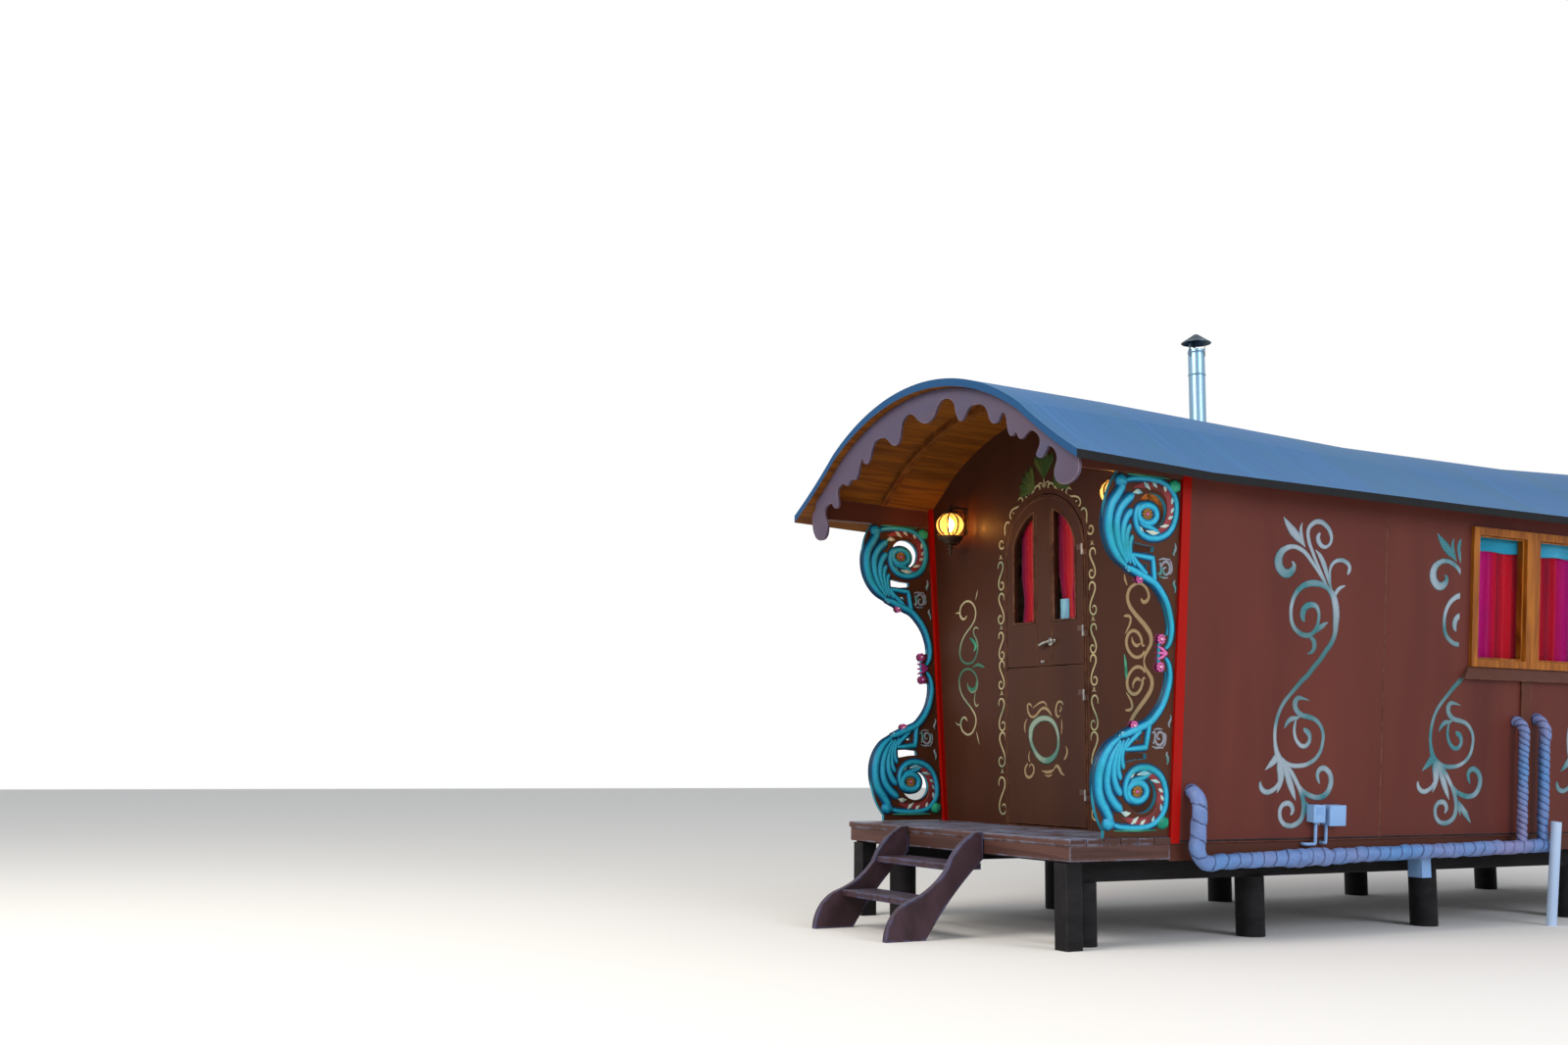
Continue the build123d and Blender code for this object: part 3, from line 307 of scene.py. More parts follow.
# %% Settled dust
settled, given, result = new_group("settled dust", {"Patch": 3.0}, ("Dust",))
upward = mapped(settled, looks(settled, "Z", "Normal"), From_Min=0.2, From_Max=1.0)
cloudy = noisy(settled, Detail=6.0, Roughness=0.65, Vector=given["Vector"], Scale=given["Patch"])
cover = mapped(settled, cloudy, From_Min=0.35, From_Max=0.7)
fill_in(settled, result, Dust=reckoned(settled, "MULTIPLY", upward, cover))
print("node groups:", [group.name for group in bpy.data.node_groups])

# %% [markdown]
# ## Paint on timber
#
# The walls are brown satin paint over boarding, the trim is gloss. Paint is one colour only at a
# glance: it is thicker and thinner, the brush leaves lines along the timber, dust dulls what faces
# up, and rubbed corners show an older coat. A mix of two near colours, driven by the groups, gives
# all of that.

# %% Helpers that colour and raise a surface
def stretched(tree, stretch=(1, 1, 1)):
    """Object coordinates, squeezed along the axes in which a pattern runs long."""
    place = node(tree, "TexCoord").outputs["Object"]
    return node(tree, "Mapping", Scale=stretch, Vector=place).outputs[0]


def blend_colours(tree, mask, low, high, reach=(0.0, 1.0)):
    """Mix two colours by a mask. A colour is a code or the output of another mix."""
    mixed = node(tree, "Mix", data_type="RGBA")
    tree.links.new(mapped(tree, mask, From_Min=reach[0], From_Max=reach[1]), mixed.inputs[0])
    for socket, value in ((mixed.inputs[6], low), (mixed.inputs[7], high)):
        if isinstance(value, str):
            socket.default_value = colour(value)
        else:
            tree.links.new(value, socket)
    return mixed.outputs[2]


def surface(tree, shader, mixed, mask, low, high, bump=0, depth=0.001):
    """Give a shader its colour, a roughness that a mask moves from low to high, and a bump."""
    fill_in(tree, shader, Base_Color=mixed, Roughness=mapped(tree, mask, To_Min=low, To_Max=high))
    if bump:
        raised = node(tree, "Bump", Strength=bump, Distance=depth, Height=mask)
        fill_in(tree, shader, Normal=raised.outputs[0])


def colour_so_far(material):
    """A material's tree and shader, and what feeds the shader's colour."""
    shader = material.node_tree.nodes["Principled BSDF"]
    return material.node_tree, shader, shader.inputs["Base Color"].links[0].from_socket


def dress(material, *names):
    """Give CAD nodes a material."""
    for name in names:
        nodes[name].data.materials.clear()
        nodes[name].data.materials.append(material)
    print(material.name, "on", ", ".join(names))


# %% Painted timber
def painted(name, coat, thin, under, dusty, gloss=0.4, along=(1, 0.12, 1), wear=0.005, inside=None):
    """Brushed paint. inside is a direction and two colours for the varnished face behind a wall."""
    material, tree, shader = new_material(name, 0.12)
    brushed = use_group(tree, brush_marks, stretched(tree, along), Fineness=55)
    mixed = blend_colours(tree, brushed["Patches"], coat, thin, (0.3, 0.75))
    mixed = blend_colours(tree, brushed["Marks"], mixed, thin, (0.62, 1.3))
    dust_on = use_group(tree, settled, stretched(tree), Patch=4)
    mixed = blend_colours(tree, dust_on["Dust"], mixed, dusty, (0.0, 1.6))
    corners = use_group(tree, rubbed, stretched(tree), Width=wear)
    mixed = blend_colours(tree, corners["Rub"], mixed, under)
    if inside:
        direction, dark, light = inside
        boards = use_group(tree, timber_grain, stretched(tree, (3, 0.25, 3)), Rings=3)
        lining = blend_colours(tree, boards["Grain"], dark, light)
        normal = node(tree, "NewGeometry").outputs["True Normal"]
        facing = reckoned(tree, "DOT_PRODUCT", normal, direction, kind="VectorMath")
        mixed = blend_colours(tree, facing, mixed, lining, (0.5, 0.6))
    surface(tree, shader, mixed, brushed["Marks"], gloss - 0.1, gloss + 0.15, 0.25, 0.002)
    return material


# The front wall stands in the porch's shade, so it gets a darker copy of the brown, SHADED: painted
# shade. The side and rear walls keep the lit one.
SUNNY, SHADED, OAK = ("6b352c", "552924"), ("462619", "371e14"), ("8a5526", "b98347")
for wall, direction, (coat, thin) in (
    ("wall_right", (-1, 0, 0), SUNNY),
    ("wall_left", (1, 0, 0), SUNNY),
    ("wall_front", (0, 1, 0), SHADED),
    ("wall_rear", (0, -1, 0), SUNNY),
):
    inner = (direction, *OAK)
    dress(painted(wall, coat, thin, "8a5c48", "7d6054", 0.42, (1, 1, 0.15), 0.004, inner), wall)

# %% The bracket boards, whose sawn edges are painted blue, and the trim
board = painted("bracket_board", "54301f", "452618", "2a7590", "70564a", 0.42, (1, 1, 0.2), 0.004)
tree, shader, coat = colour_so_far(board)
edge = reckoned(tree, "ABSOLUTE", looks(tree, "X"))
fill_in(tree, shader, Base_Color=blend_colours(tree, edge, "1f86a0", coat, (0.4, 0.6)))
brown = painted("brown_trim", "5e3428", "4c2a20", "8f6650", "806a62")
# The door and its frame take a brown darkened like the front wall's: painted shade.
door_brown = painted("door_brown", "4a2b1c", "3a2017", "80563a", "705244", 0.36, (1, 1, 0.12))
red = painted("red_trim", "b00e03", "900a03", "6b2a20", "98504a", 0.3, (1, 1, 0.1))
# The valance's mauve is darkened as painted shade under the roof's edge, and its wide pale rubbed
# edges, 907b88, are partly wear and partly a painted highlight.
mauve = painted("mauve_trim", "5a4752", "434b68", "907b88", "70647c", 0.42, (0.3, 1, 1), 0.008)
dress(board, "bracket_board_right", "bracket_board_left")
dress(brown, "window_sills", "side_strips", "skirts", "porch_plates")
dress(door_brown, "door_upper", "door_lower", "door_frame")
dress(red, "corner_posts")
dress(mauve, "valances")

# %% [markdown]
# ## Timber that is stained, varnished or worn
#
# The deck and the steps are brown boards whose corners and treads are rubbed to a blue grey. The
# window frames are clear varnish over ochre timber. The posts and the bearers are nearly black.

# %% Stained and varnished timber
def lengthwise(tree, along):
    """Coordinates squeezed along the timber, and along the wagon on faces that look sideways."""
    sideways = reckoned(tree, "GREATER_THAN", reckoned(tree, "ABSOLUTE", looks(tree, "X")), 0.8)
    across = (along[1], min(along), along[2]) if along[0] == min(along) else along
    choice = node(tree, "Mix", data_type="VECTOR")
    sources = sideways, stretched(tree, along), stretched(tree, across)
    for socket, source in zip((0, 4, 5), sources):
        tree.links.new(source, choice.inputs[socket])
    return choice.outputs[1]


def timber(name, dark, light, worn, dusty, rough, along, coat=0.0, wear=0.012, dust_reach=1.3):
    """Timber with its grain along the axis that is squeezed, and worn corners."""
    material, tree, shader = new_material(name, 0.2)
    grain = use_group(tree, timber_grain, lengthwise(tree, along), Rings=4)
    mixed = blend_colours(tree, grain["Grain"], dark, light, (0.1, 1.0))
    dust_on = use_group(tree, settled, stretched(tree), Patch=6)
    mixed = blend_colours(tree, dust_on["Dust"], mixed, dusty, (0.0, dust_reach))
    corners = use_group(tree, rubbed, stretched(tree), Width=wear, Breakup=9)
    mixed = blend_colours(tree, corners["Rub"], mixed, worn, (0.0, 1.2))
    surface(tree, shader, mixed, grain["Pores"], rough - 0.1, rough + 0.12, 0.35, 0.003)
    fill_in(tree, shader, Coat_Weight=coat, Coat_Roughness=0.25)
    return material


deck_timber = timber(
    "deck_timber", "452c27", "593b34", "8088a0", "74809a", 0.5, (0.12, 2, 2), 0, 0.016, 0.72)
step_timber = timber(
    "step_timber", "36252a", "46323a", "5f6a96", "56586e", 0.55, (2, 0.5, 0.5), 0, 0.022)
varnish = timber(
    "varnished_timber", "84480f", "ac661b", "c98f4a", "8c5c28", 0.4, (2, 2, 0.2), 0.06, 0.004, 2.5)
dark_timber = timber("dark_timber", "131214", "1e1c1e", "343032", "302e34", 0.75, (1, 0.2, 1))
soffit_timber = timber(
    "soffit_timber", "5a3010", "784415", "96602c", "70502c", 0.5, (2, 0.3, 2), 0.1)
dress(deck_timber, "porch_deck", "porch_fascia", "cabin_floor")
dress(step_timber, "step_stringers", "step_treads")
dress(varnish, "window_frames", "curtain_rails")
dress(dark_timber, "posts", "underframe")
dress(soffit_timber, "roof_ribs")

# %% [markdown]
# ## The roof
#
# The roof is one stiff sheet bent over the ribs. Its top is a pale blue grey that has bleached in
# streaks down the slope, its front and rear edges are painted a darker blue, its side edges are
# near black as painted shade under the eaves, and below it is varnished boarding. Which of these
# a point shows depends on the way its face looks.

# %% Roof sheet
roof_sheet, tree, shader = new_material("roof_sheet", 0.18)
streaks = use_group(tree, brush_marks, stretched(tree, (0.08, 2.5, 0.08)), Fineness=12)
pale = blend_colours(tree, streaks["Marks"], "2c5e90", "4073a4", (0.3, 0.7))
pale = blend_colours(tree, streaks["Patches"], pale, "366888", (0.45, 0.8))
boards = use_group(tree, timber_grain, stretched(tree, (4, 0.25, 4)), Rings=3)
under = blend_colours(tree, boards["Grain"], "66380f", "875015")
ahead = reckoned(tree, "ABSOLUTE", looks(tree, "Y"))
# Edges that look sideways are near black, painted shade under the eaves; edges that look ahead are
# the darker blue paint.
edge = blend_colours(tree, ahead, "080a0e", "164672", (0.4, 0.6))
mixed = blend_colours(tree, looks(tree, "Z"), edge, pale, (0.12, 0.18))
mixed = blend_colours(tree, looks(tree, "Z"), under, mixed, (-0.25, -0.15))
surface(tree, shader, mixed, streaks["Marks"], 0.45, 0.7, 0.15, 0.004)
dress(roof_sheet, "roof_shell")

# %% [markdown]
# ## Metal, glass and plastic
#
# The flue is stainless steel, darkened by weather in bands round the pipe. The handle and the
# hinges are dull metal. Window glass is clear and thin. The boxes on the wall and the waste pipe
# are white plastic with a little dirt in it.

# %% Metal
def metal(name, bright, dull, rough, along, lustre=1.0, dents=0.12):
    """Metal that is brushed or weathered along one direction."""
    material, tree, shader = new_material(name)
    lines = use_group(tree, brush_marks, stretched(tree, along), Fineness=30)
    mixed = blend_colours(tree, lines["Patches"], bright, dull, (0.35, 0.7))
    surface(tree, shader, mixed, lines["Marks"], rough - 0.12, rough + 0.18, dents)
    fill_in(tree, shader, Metallic=lustre)
    return material


flue_steel = metal("flue_steel", "92b6cf", "7898b0", 0.3, (6, 6, 0.3), 1.0, 0.03)
dress(flue_steel, "flue_pipe")
# The collar and the cap are a darker steel than the pipe.
dress(metal("dark_cap_steel", "5c707e", "3c4a54", 0.45, (4, 4, 4)), "flue_fittings")
handle_steel = metal("handle_steel", "cfcfc8", "8f8f8a", 0.28, (6, 6, 6))
hinge_steel = metal("hinge_steel", "b4b2b2", "7c7472", 0.4, (6, 6, 3), 0.6)

# %% Hinges: bare barrels, and plates painted over with the door
HINGE_LINE, BARREL_EDGE = 0.366, (0.0068, 0.0076)


def distance_from(tree, axis, level):
    """How far a point lies from a level along an axis."""
    spot = node(tree, "SeparateXYZ", Vector=stretched(tree)).outputs[axis]
    return reckoned(tree, "ABSOLUTE", reckoned(tree, "SUBTRACT", spot, level))


hinge_metal, tree, shader = new_material("hinge_metal")
lines = use_group(tree, brush_marks, stretched(tree, (6, 6, 3)), Fineness=40)
bare = blend_colours(tree, lines["Patches"], "b4b2b2", "7c7472", (0.35, 0.7))
# The painted-over plates take the door's darkened brown, and with it its painted shade.
coated = blend_colours(tree, lines["Patches"], "4a2b1c", "3a2017", (0.35, 0.7))
mixed = blend_colours(tree, distance_from(tree, "X", HINGE_LINE), bare, coated, BARREL_EDGE)
surface(tree, shader, mixed, lines["Marks"], 0.3, 0.55)
dress(hinge_metal, "hinge_pins", "hinges_upper", "hinges_lower")

# %% Glass and plastic
glass, tree, shader = new_material("window_glass")
smears = use_group(tree, brush_marks, stretched(tree), Fineness=14)
film = blend_colours(tree, smears["Patches"], "f4f8fa", "e4ecef", (0.4, 0.9))
surface(tree, shader, film, smears["Marks"], 0.0, 0.06)
fill_in(tree, shader, Transmission_Weight=1.0, IOR=1.05)
dress(glass, "window_glass", "door_glass")


def plastic(name, clean, soiled, rough=0.35):
    """Moulded plastic with faint dirt."""
    material, tree, shader = new_material(name, 0.3)
    dirt = use_group(tree, brush_marks, stretched(tree), Fineness=24)
    mixed = blend_colours(tree, dirt["Patches"], clean, soiled, (0.45, 0.95))
    surface(tree, shader, mixed, dirt["Marks"], rough - 0.08, rough + 0.15, 0.08)
    return material


box_plastic = plastic("box_plastic", "86aedd", "6a90c2")
dress(box_plastic, "service_boxes")
dress(plastic("pipe_plastic", "b4cbe8", "8ea6cc"), "waste_pipe")

# %% [markdown]
# ## Brush strokes as shapes
#
# The scrolls were painted freehand: the brush is pressed down in the middle of a stroke and lifted
# at its end. A curve with a round section and a radius at each point does the same. Its section is
# flattened to a film of paint for the walls, and kept half round for the carving. A tube also knows
# how far each of its points is from its crest, and that is kept as the attribute ridge, so that the
# paint can be pale on the crest and deep in the grooves: a painted highlight and painted shade.

# %% Lines, strokes and where they go
SMOOTH, SHARP = "AUTO", "VECTOR"


def new_curve(name, **settings):
    """An empty curve with its settings."""
    deselect()
    bpy.ops.curve.primitive_bezier_curve_add()
    drawing = bpy.context.object
    drawing.name = drawing.data.name = name
    drawing.data.splines.clear()
    for setting, value in settings.items():
        setattr(drawing.data, setting, value)
    return drawing


def add_line(drawing, spots, kinds=None, radii=None, closed=False):
    """A line through spots in millimetres, which are smooth unless kinds says otherwise."""
    spline = drawing.data.splines.new("BEZIER")
    spline.bezier_points.add(len(spots) - 1)
    spline.use_cyclic_u = closed
    for number, corner in enumerate(spline.bezier_points):
        corner.co = [value / 1000 for value in spots[number]]
        corner.handle_left_type = corner.handle_right_type = kinds[number] if kinds else SMOOTH
        if radii:
            corner.radius = radii[number]


def draw_strokes(name, strokes, height, smoothness=5, ring=2):
    """One mesh of tapered strokes. A point is (x, y, half width) in mm; height is the share of that
    half width by which the stroke stands out."""
    drawing = new_curve(
        name, bevel_depth=0.001, bevel_resolution=ring, resolution_u=smoothness, use_fill_caps=True)
    for stroke in strokes:
        halves = [max(half, 0.4) for _, _, half in stroke]
        add_line(drawing, [(x, y, 0) for x, y, _ in stroke], radii=halves)
    bpy.ops.object.convert(target="MESH")
    mesh = drawing.data
    ridge = mesh.attributes.new("ridge", "FLOAT", "POINT")
    ridge.data.foreach_set("value", [max(corner.vector.z, 0) for corner in mesh.vertex_normals])
    mesh.transform(Matrix.Scale(height, 4, (0, 0, 1)))
    bpy.ops.object.shade_smooth()
    return drawing


def put(piece, place, body, material, replaced=None):
    """Stand a drawing up on its place, give it a material and let it ride on a body. replaced is
    the solid that it takes the place of."""
    piece.data.transform(place)
    if place.determinant() < 0:
        piece.data.flip_normals()
    piece.data.materials.clear()
    piece.data.materials.append(material)
    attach(piece, body)
    if replaced:
        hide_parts(replaced)
    print(piece.name, "on", body, "with", len(piece.data.polygons), "faces")


def copy_of(piece, name):
    """A copy with a mesh of its own."""
    twin = piece.copy()
    twin.data = piece.data.copy()
    twin.name = twin.data.name = name
    bpy.context.scene.collection.objects.link(twin)
    return twin


def shift(x, y, out):
    """A shift along, up and out of a wall, in millimetres."""
    return Matrix.Translation((x / 1000, y / 1000, out / 1000))


def out_by(distance):
    """A shift straight out of a wall, in millimetres."""
    return shift(0, 0, distance)


# %% Paint for strokes
BROAD = (0.4, 1.0)


def stroke_paint(name, coats, rough=0.4, reach=(0.35, 0.95), patch_size=5.0, patchy=(0.5, 0.62)):
    """Paint that is deep at the sides of a stroke and pale on its crest, as painted shade and a
    painted highlight, and patchy along it. coats are the deep, the middle and the pale colour and
    that of the patches."""
    deep, middle, crest, patch = coats.split()
    material, tree, shader = new_material(name, 0.25)
    ridge = node(tree, "Attribute", attribute_name="ridge").outputs["Fac"]
    strands = use_group(tree, brush_marks, stretched(tree), Fineness=70)["Marks"]
    # Deep at the sides and pale on the crest: painted shade and a painted highlight of a round
    # stroke.
    mixed = blend_colours(tree, ridge, deep, middle, (0.05, reach[0]))
    mixed = blend_colours(tree, ridge, mixed, crest, reach)
    cloud = noisy(tree, Scale=patch_size, Detail=2.0, Vector=stretched(tree))
    mixed = blend_colours(tree, cloud, mixed, patch, patchy)
    mixed = blend_colours(tree, strands, mixed, middle, (0.5, 0.9))
    surface(tree, shader, mixed, strands, rough - 0.1, rough + 0.15, 0.2)
    return material


pale_scroll = stroke_paint(
    "pale_scroll_paint", "5b7682 7f8f9a 9cabb4 33767e", 0.5, BROAD, 3.2, (0.47, 0.62))
carving_blue = stroke_paint(
    "carving_blue", "043258 057cac 36bcd8 0a8f8c", 0.3, (0.62, 1.0), 4.0, (0.5, 0.8))
# groove_blue is the painted shade in the grooves of the carving.
groove_blue = stroke_paint("groove_blue", "0a3558 0b4468 0f5478 143c58", 0.45)
ball_green = stroke_paint("ball_green", "0a5a48 129a74 3cba90 0f8468", 0.35)
pink_paint = stroke_paint("pink_paint", "6c1450 b02c80 dc74b0 9c347c", 0.35)
heart_pink = stroke_paint("heart_pink", "94306c cc80ac e8b4cc c878a0", 0.35)
groove_pink = stroke_paint("groove_pink", "501230 701f46 8c3058 602040", 0.45)
band_red = stroke_paint("band_red", "5b1c1e 7c2528 943a40 662c26", 0.45)
pale_leaf = stroke_paint("pale_leaf", "4f94a4 94c4c4 dcd8bc 6cb4c4", 0.4, BROAD, 9.0)
applied_lilac = stroke_paint(
    "applied_lilac", "3f6068 6c7c80 98909c 4a8482", 0.45, BROAD, 14.0, (0.5, 0.6))
cream_paint = stroke_paint(
    "cream_paint", "6f6a48 9c9068 b8ac86 5f8068", 0.5, BROAD, 4.5, (0.54, 0.68))
stem_paint = stroke_paint(
    "stem_paint", "6f6a48 94896a b0a684 5f8068", 0.5, BROAD, 4.5, (0.54, 0.68))
tan_paint = stroke_paint("tan_paint", "54402c 80684c 9a8464 5a6c5a", 0.5, BROAD, 2.5, (0.58, 0.7))
ring_paint = stroke_paint(
    "ring_paint", "465c52 687e6e 8c9e8e 4c786e", 0.5, BROAD, 5.0, (0.5, 0.66))
leaf_paint = stroke_paint("leaf_paint", "144c3c 1f7458 4a9678 206850", 0.45)
olive_paint = stroke_paint("olive_paint", "20260a 343c10 505824 2a4218", 0.5, BROAD, 6.0)
ochre_paint = stroke_paint("ochre_paint", "46300e 785018 9c7438 5c4c20", 0.5)


def banded(material, height, half, code):
    """Another colour at one height, where the painter let a darker green run through stems."""
    tree, shader, usual = colour_so_far(material)
    away = distance_from(tree, "Z", height)
    mixed = blend_colours(tree, away, code, usual, (half * 0.3, half * 1.4))
    fill_in(tree, shader, Base_Color=mixed)


banded(pale_scroll, 1.47, 0.26, "3c6c70")
banded(stem_paint, sighted(FRONT_WALL, 993, 680)[1] / 1000 + DECK, 0.2, "3a6450")
print("materials so far:", len(bpy.data.materials))

# %% [markdown]
# ## The painted scrolls of the side walls
#
# One pattern is repeated along the wall: a stem that throws off volutes to both sides. It was laid
# out from a single drawing, so it is drawn once here as well, by sight lines from the camera, and
# then copied along the wall. The window frame hides part of two copies: those are cut at its side.

# %% The pattern of one scroll
upper_scroll = (
    ((1355, 600, 8), (1350, 589, 12), (1344, 575, 12), (1339, 562, 13), (1335.5, 551, 15),
     (1335, 541, 15), (1338.5, 535, 15), (1346, 532, 16), (1353, 536, 16), (1357.5, 543, 16),
     (1358.5, 551, 12), (1355, 557, 10), (1350, 557.5, 14), (1346, 553, 18), (1345, 548, 18),
     (1347, 543.5, 8)),
    ((1356, 601, 6), (1350, 591, 10), (1344, 581, 12), (1338, 572, 14), (1333, 565, 15),
     (1327, 560, 15), (1320, 557.5, 14), (1312, 559.5, 18), (1306.5, 565, 26), (1304.5, 573, 32),
     (1307, 581, 30), (1312.5, 585, 27), (1318, 582.5, 22), (1320.5, 577, 16), (1318.5, 572.5, 5)),
    ((1342.5, 561, 3), (1347, 567, 16), (1351, 576, 20), (1354, 586, 15), (1357, 596, 9),
     (1359, 601, 5)),
    ((1358, 600, 6), (1357, 590, 10), (1357.5, 580, 11), (1361, 574, 12), (1367, 571.5, 13),
     (1373, 573, 14), (1377, 578, 15), (1376.5, 583, 14), (1375, 586, 6)),
    ((1362, 607, 14), (1366, 601, 14), (1370, 598.5, 9), (1373, 597.5, 2)),
    ((1355, 601, 10), (1349, 596.5, 18), (1342, 595, 20), (1335, 595.5, 19), (1328, 599, 17),
     (1322, 606, 16), (1318.5, 615, 15), (1317.3, 626, 14), (1319, 637, 15), (1324, 644, 15),
     (1331, 648, 16), (1338, 647, 15), (1343, 641, 13), (1345.5, 632, 12), (1345.5, 624, 13),
     (1343, 618.5, 16), (1337.5, 617, 18), (1332, 619.5, 20), (1329.5, 625, 22), (1329.5, 630, 18),
     (1331, 634, 6)),
    ((1343, 645, 6), (1346, 641, 16), (1350, 638, 16), (1353, 636, 8), (1355, 635, 2)),
    ((1337, 650, 10), (1340.5, 654, 18), (1341, 660, 18), (1338.5, 665, 12), (1334, 667, 3)),
    ((1310, 527.5, 2), (1313.5, 533.5, 18), (1319, 541.5, 30), (1324.5, 548, 27), (1329, 553.5, 14),
     (1332, 558, 3)),
    ((1329, 533, 2), (1327.5, 539, 12), (1328, 546, 14), (1331, 555, 4)),
)
stem = (
    ((1351, 594, 10), (1355, 600, 14), (1360, 607, 24), (1362.5, 616, 27), (1363.5, 626, 28),
     (1363, 637, 24), (1362, 647, 18), (1358.5, 656, 17), (1353, 664, 17), (1347, 673, 16),
     (1341, 680, 16), (1335, 688, 16), (1328, 695, 15), (1322, 702, 14), (1316, 709, 13),
     (1310, 717, 13), (1305.5, 726, 13), (1302.5, 736, 13), (1301, 746, 13), (1301, 756, 13),
     (1302.5, 766, 18), (1305, 774, 26), (1309, 781, 18), (1312, 786, 8)),
)
lower_scroll = (
    ((1307, 774, 14), (1314, 779.5, 14), (1324, 781.3, 14), (1337, 778, 13), (1346, 769, 13),
     (1349.5, 758, 13), (1350, 748, 13), (1347.5, 740.5, 13), (1342.5, 734.5, 14),
     (1335, 731.3, 15), (1328.5, 729.5, 16), (1323, 724.5, 18), (1321.5, 717.5, 20),
     (1324, 712.5, 16), (1329.5, 712.5, 9), (1336, 714.5, 2)),
    ((1322.5, 734, 6), (1321, 741, 11), (1321, 749, 12), (1324, 757, 13), (1329.5, 761.3, 14),
     (1334.5, 759, 14), (1336.5, 752.5, 15), (1334.5, 747, 18), (1331.5, 744.5, 14),
     (1330.5, 742.5, 5)),
    ((1310.5, 743, 2), (1313, 738, 12), (1317.5, 733.5, 16), (1323, 732.5, 12), (1327, 730.5, 5)),
    ((1291, 785.5, 2), (1297, 779.5, 18), (1302, 774, 26), (1305, 770, 18)),
    ((1308, 782, 12), (1308, 791, 14), (1304.5, 800, 14), (1298, 806.5, 15), (1291.5, 808, 16),
     (1287, 804, 16), (1286, 799, 10), (1286.5, 797, 3)),
    ((1309.5, 778, 14), (1313, 789, 22), (1316.5, 800, 25), (1319.5, 809, 18), (1322, 817, 2)),
    ((1305.5, 773, 14), (1306.5, 783, 30), (1307, 793, 26), (1305.5, 802, 16), (1303, 809, 2)),
    ((1310, 779, 12), (1317, 787, 16), (1322.5, 797, 16), (1327, 807, 16), (1330, 818, 18),
     (1330, 828, 18), (1327.5, 836, 17), (1322, 841, 16), (1315, 842.5, 15), (1308.5, 839, 15),
     (1305.8, 831, 15), (1307.5, 823, 15), (1313, 819.5, 16), (1317.5, 821.5, 17), (1319, 827, 16),
     (1317, 831.5, 6)),
    ((1323, 798, 8), (1330, 807.5, 15), (1337.5, 812, 16), (1345.5, 813.5, 16), (1352.5, 810.5, 18),
     (1357, 803, 20), (1358, 793.5, 20), (1354.5, 786, 18), (1348.5, 784, 17), (1344.5, 789, 15),
     (1345, 795, 12), (1346.5, 799.5, 4)),
    ((1333, 818, 3), (1336, 825, 20), (1341, 832, 22), (1345, 839, 10), (1347, 842, 2)),
    ((1333, 820, 4), (1334, 828, 12), (1335, 834, 3)),
)

def on_side(strokes):
    """Picture strokes as strokes in millimetres on the side wall."""
    return [[(*sighted(side_wall(1), x, y), half) for x, y, half in stroke] for stroke in strokes]


whole = draw_strokes("scroll_whole", on_side(upper_scroll + stem + lower_scroll), 0.07)
print("triangles in one scroll:", sum(len(p.vertices) - 2 for p in whole.data.polygons))

# %% The copies along the wall
REPEAT, SILL = 1.245, 0.94
BESIDE_FRAME = {2: (2.165, 1), 3: (3.42, -1)}


@contextmanager
def editing():
    """Edit mode with all that the piece has selected, and out of it again."""
    bpy.ops.object.mode_set(mode="EDIT")
    bpy.ops.mesh.select_all(action="SELECT")
    yield
    bpy.ops.object.mode_set(mode="OBJECT")


def cut_off(piece, point, away):
    """Cut a drawing through a point, in metres, and drop the side that away points to."""
    deselect()
    piece.select_set(True)
    bpy.context.view_layer.objects.active = piece
    with editing():
        bpy.ops.mesh.bisect(plane_co=point, plane_no=away, use_fill=True, clear_outer=True)


for hand, side in SIDES:
    for number in (1, 2, 3, 4):
        name = f"wall_scroll_{side}_{number}"
        twin = copy_of(whole, name)
        twin.data.transform(Matrix.Translation(((number - 1) * REPEAT, 0, 0)))
        if number in BESIDE_FRAME:
            line, away = BESIDE_FRAME[number]
            beside = copy_of(twin, name + "_top")
            cut_off(beside, (0, SILL, 0), (0, -1, 0))
            cut_off(beside, (line, 0, 0), (away, 0, 0))
            put(beside, side_wall(hand), "wagon", pale_scroll)
            cut_off(twin, (0, SILL, 0), (0, 1, 0))
        put(twin, side_wall(hand), "wagon", pale_scroll)
bpy.data.objects.remove(whole)

# %% [markdown]
# ## The carved brackets
#
# A bracket stands at each side of the porch: five feathers that sweep up and out, a ring round a
# rosette, and a stem, with the same again upside down below. It is carved in relief on both faces
# of a board. Half-round strokes that overlap and taper into one tail give the feathers with the
# grooves between them. A wider and flatter set of the same strokes lies under them, in deep blue,
# so that every groove and outline is dark: that deep blue is painted shade.

# %% Helpers for the strokes of the carving
BRACKET_MIDDLE = 963
OUTER_FACE, INNER_FACE = -14.3, -36.6
ROUND_END = ((0.97, 0.12), (0.75, 0.66))


def rounded(stroke, start=True, end=False):
    """Close a stroke with a round end."""
    points = list(stroke)
    for use, order in ((start, 1), (end, -1)):
        if use:
            points = points[::order]
            (x, y, half), (x2, y2, _) = points[0], points[1]
            length = sqrt((x - x2) ** 2 + (y - y2) ** 2)
            dx, dy = (x - x2) / length * half, (y - y2) / length * half
            cap = [(x + dx * reach, y + dy * reach, half * size) for reach, size in ROUND_END]
            points = (cap + points)[::order]
    return points


def button(x, y, half):
    """A round boss, as one short stroke."""
    return rounded(((x - half * 0.1, y, half), (x + half * 0.1, y, half)), True, True)


def ellipse(x, y, across, up, half, knots=14):
    """A closed ring, as a stroke that overlaps its own start."""
    angles = [2 * pi * number / knots for number in range(knots + 2)]
    return [(x + across * cos(angle), y + up * sin(angle), half) for angle in angles]


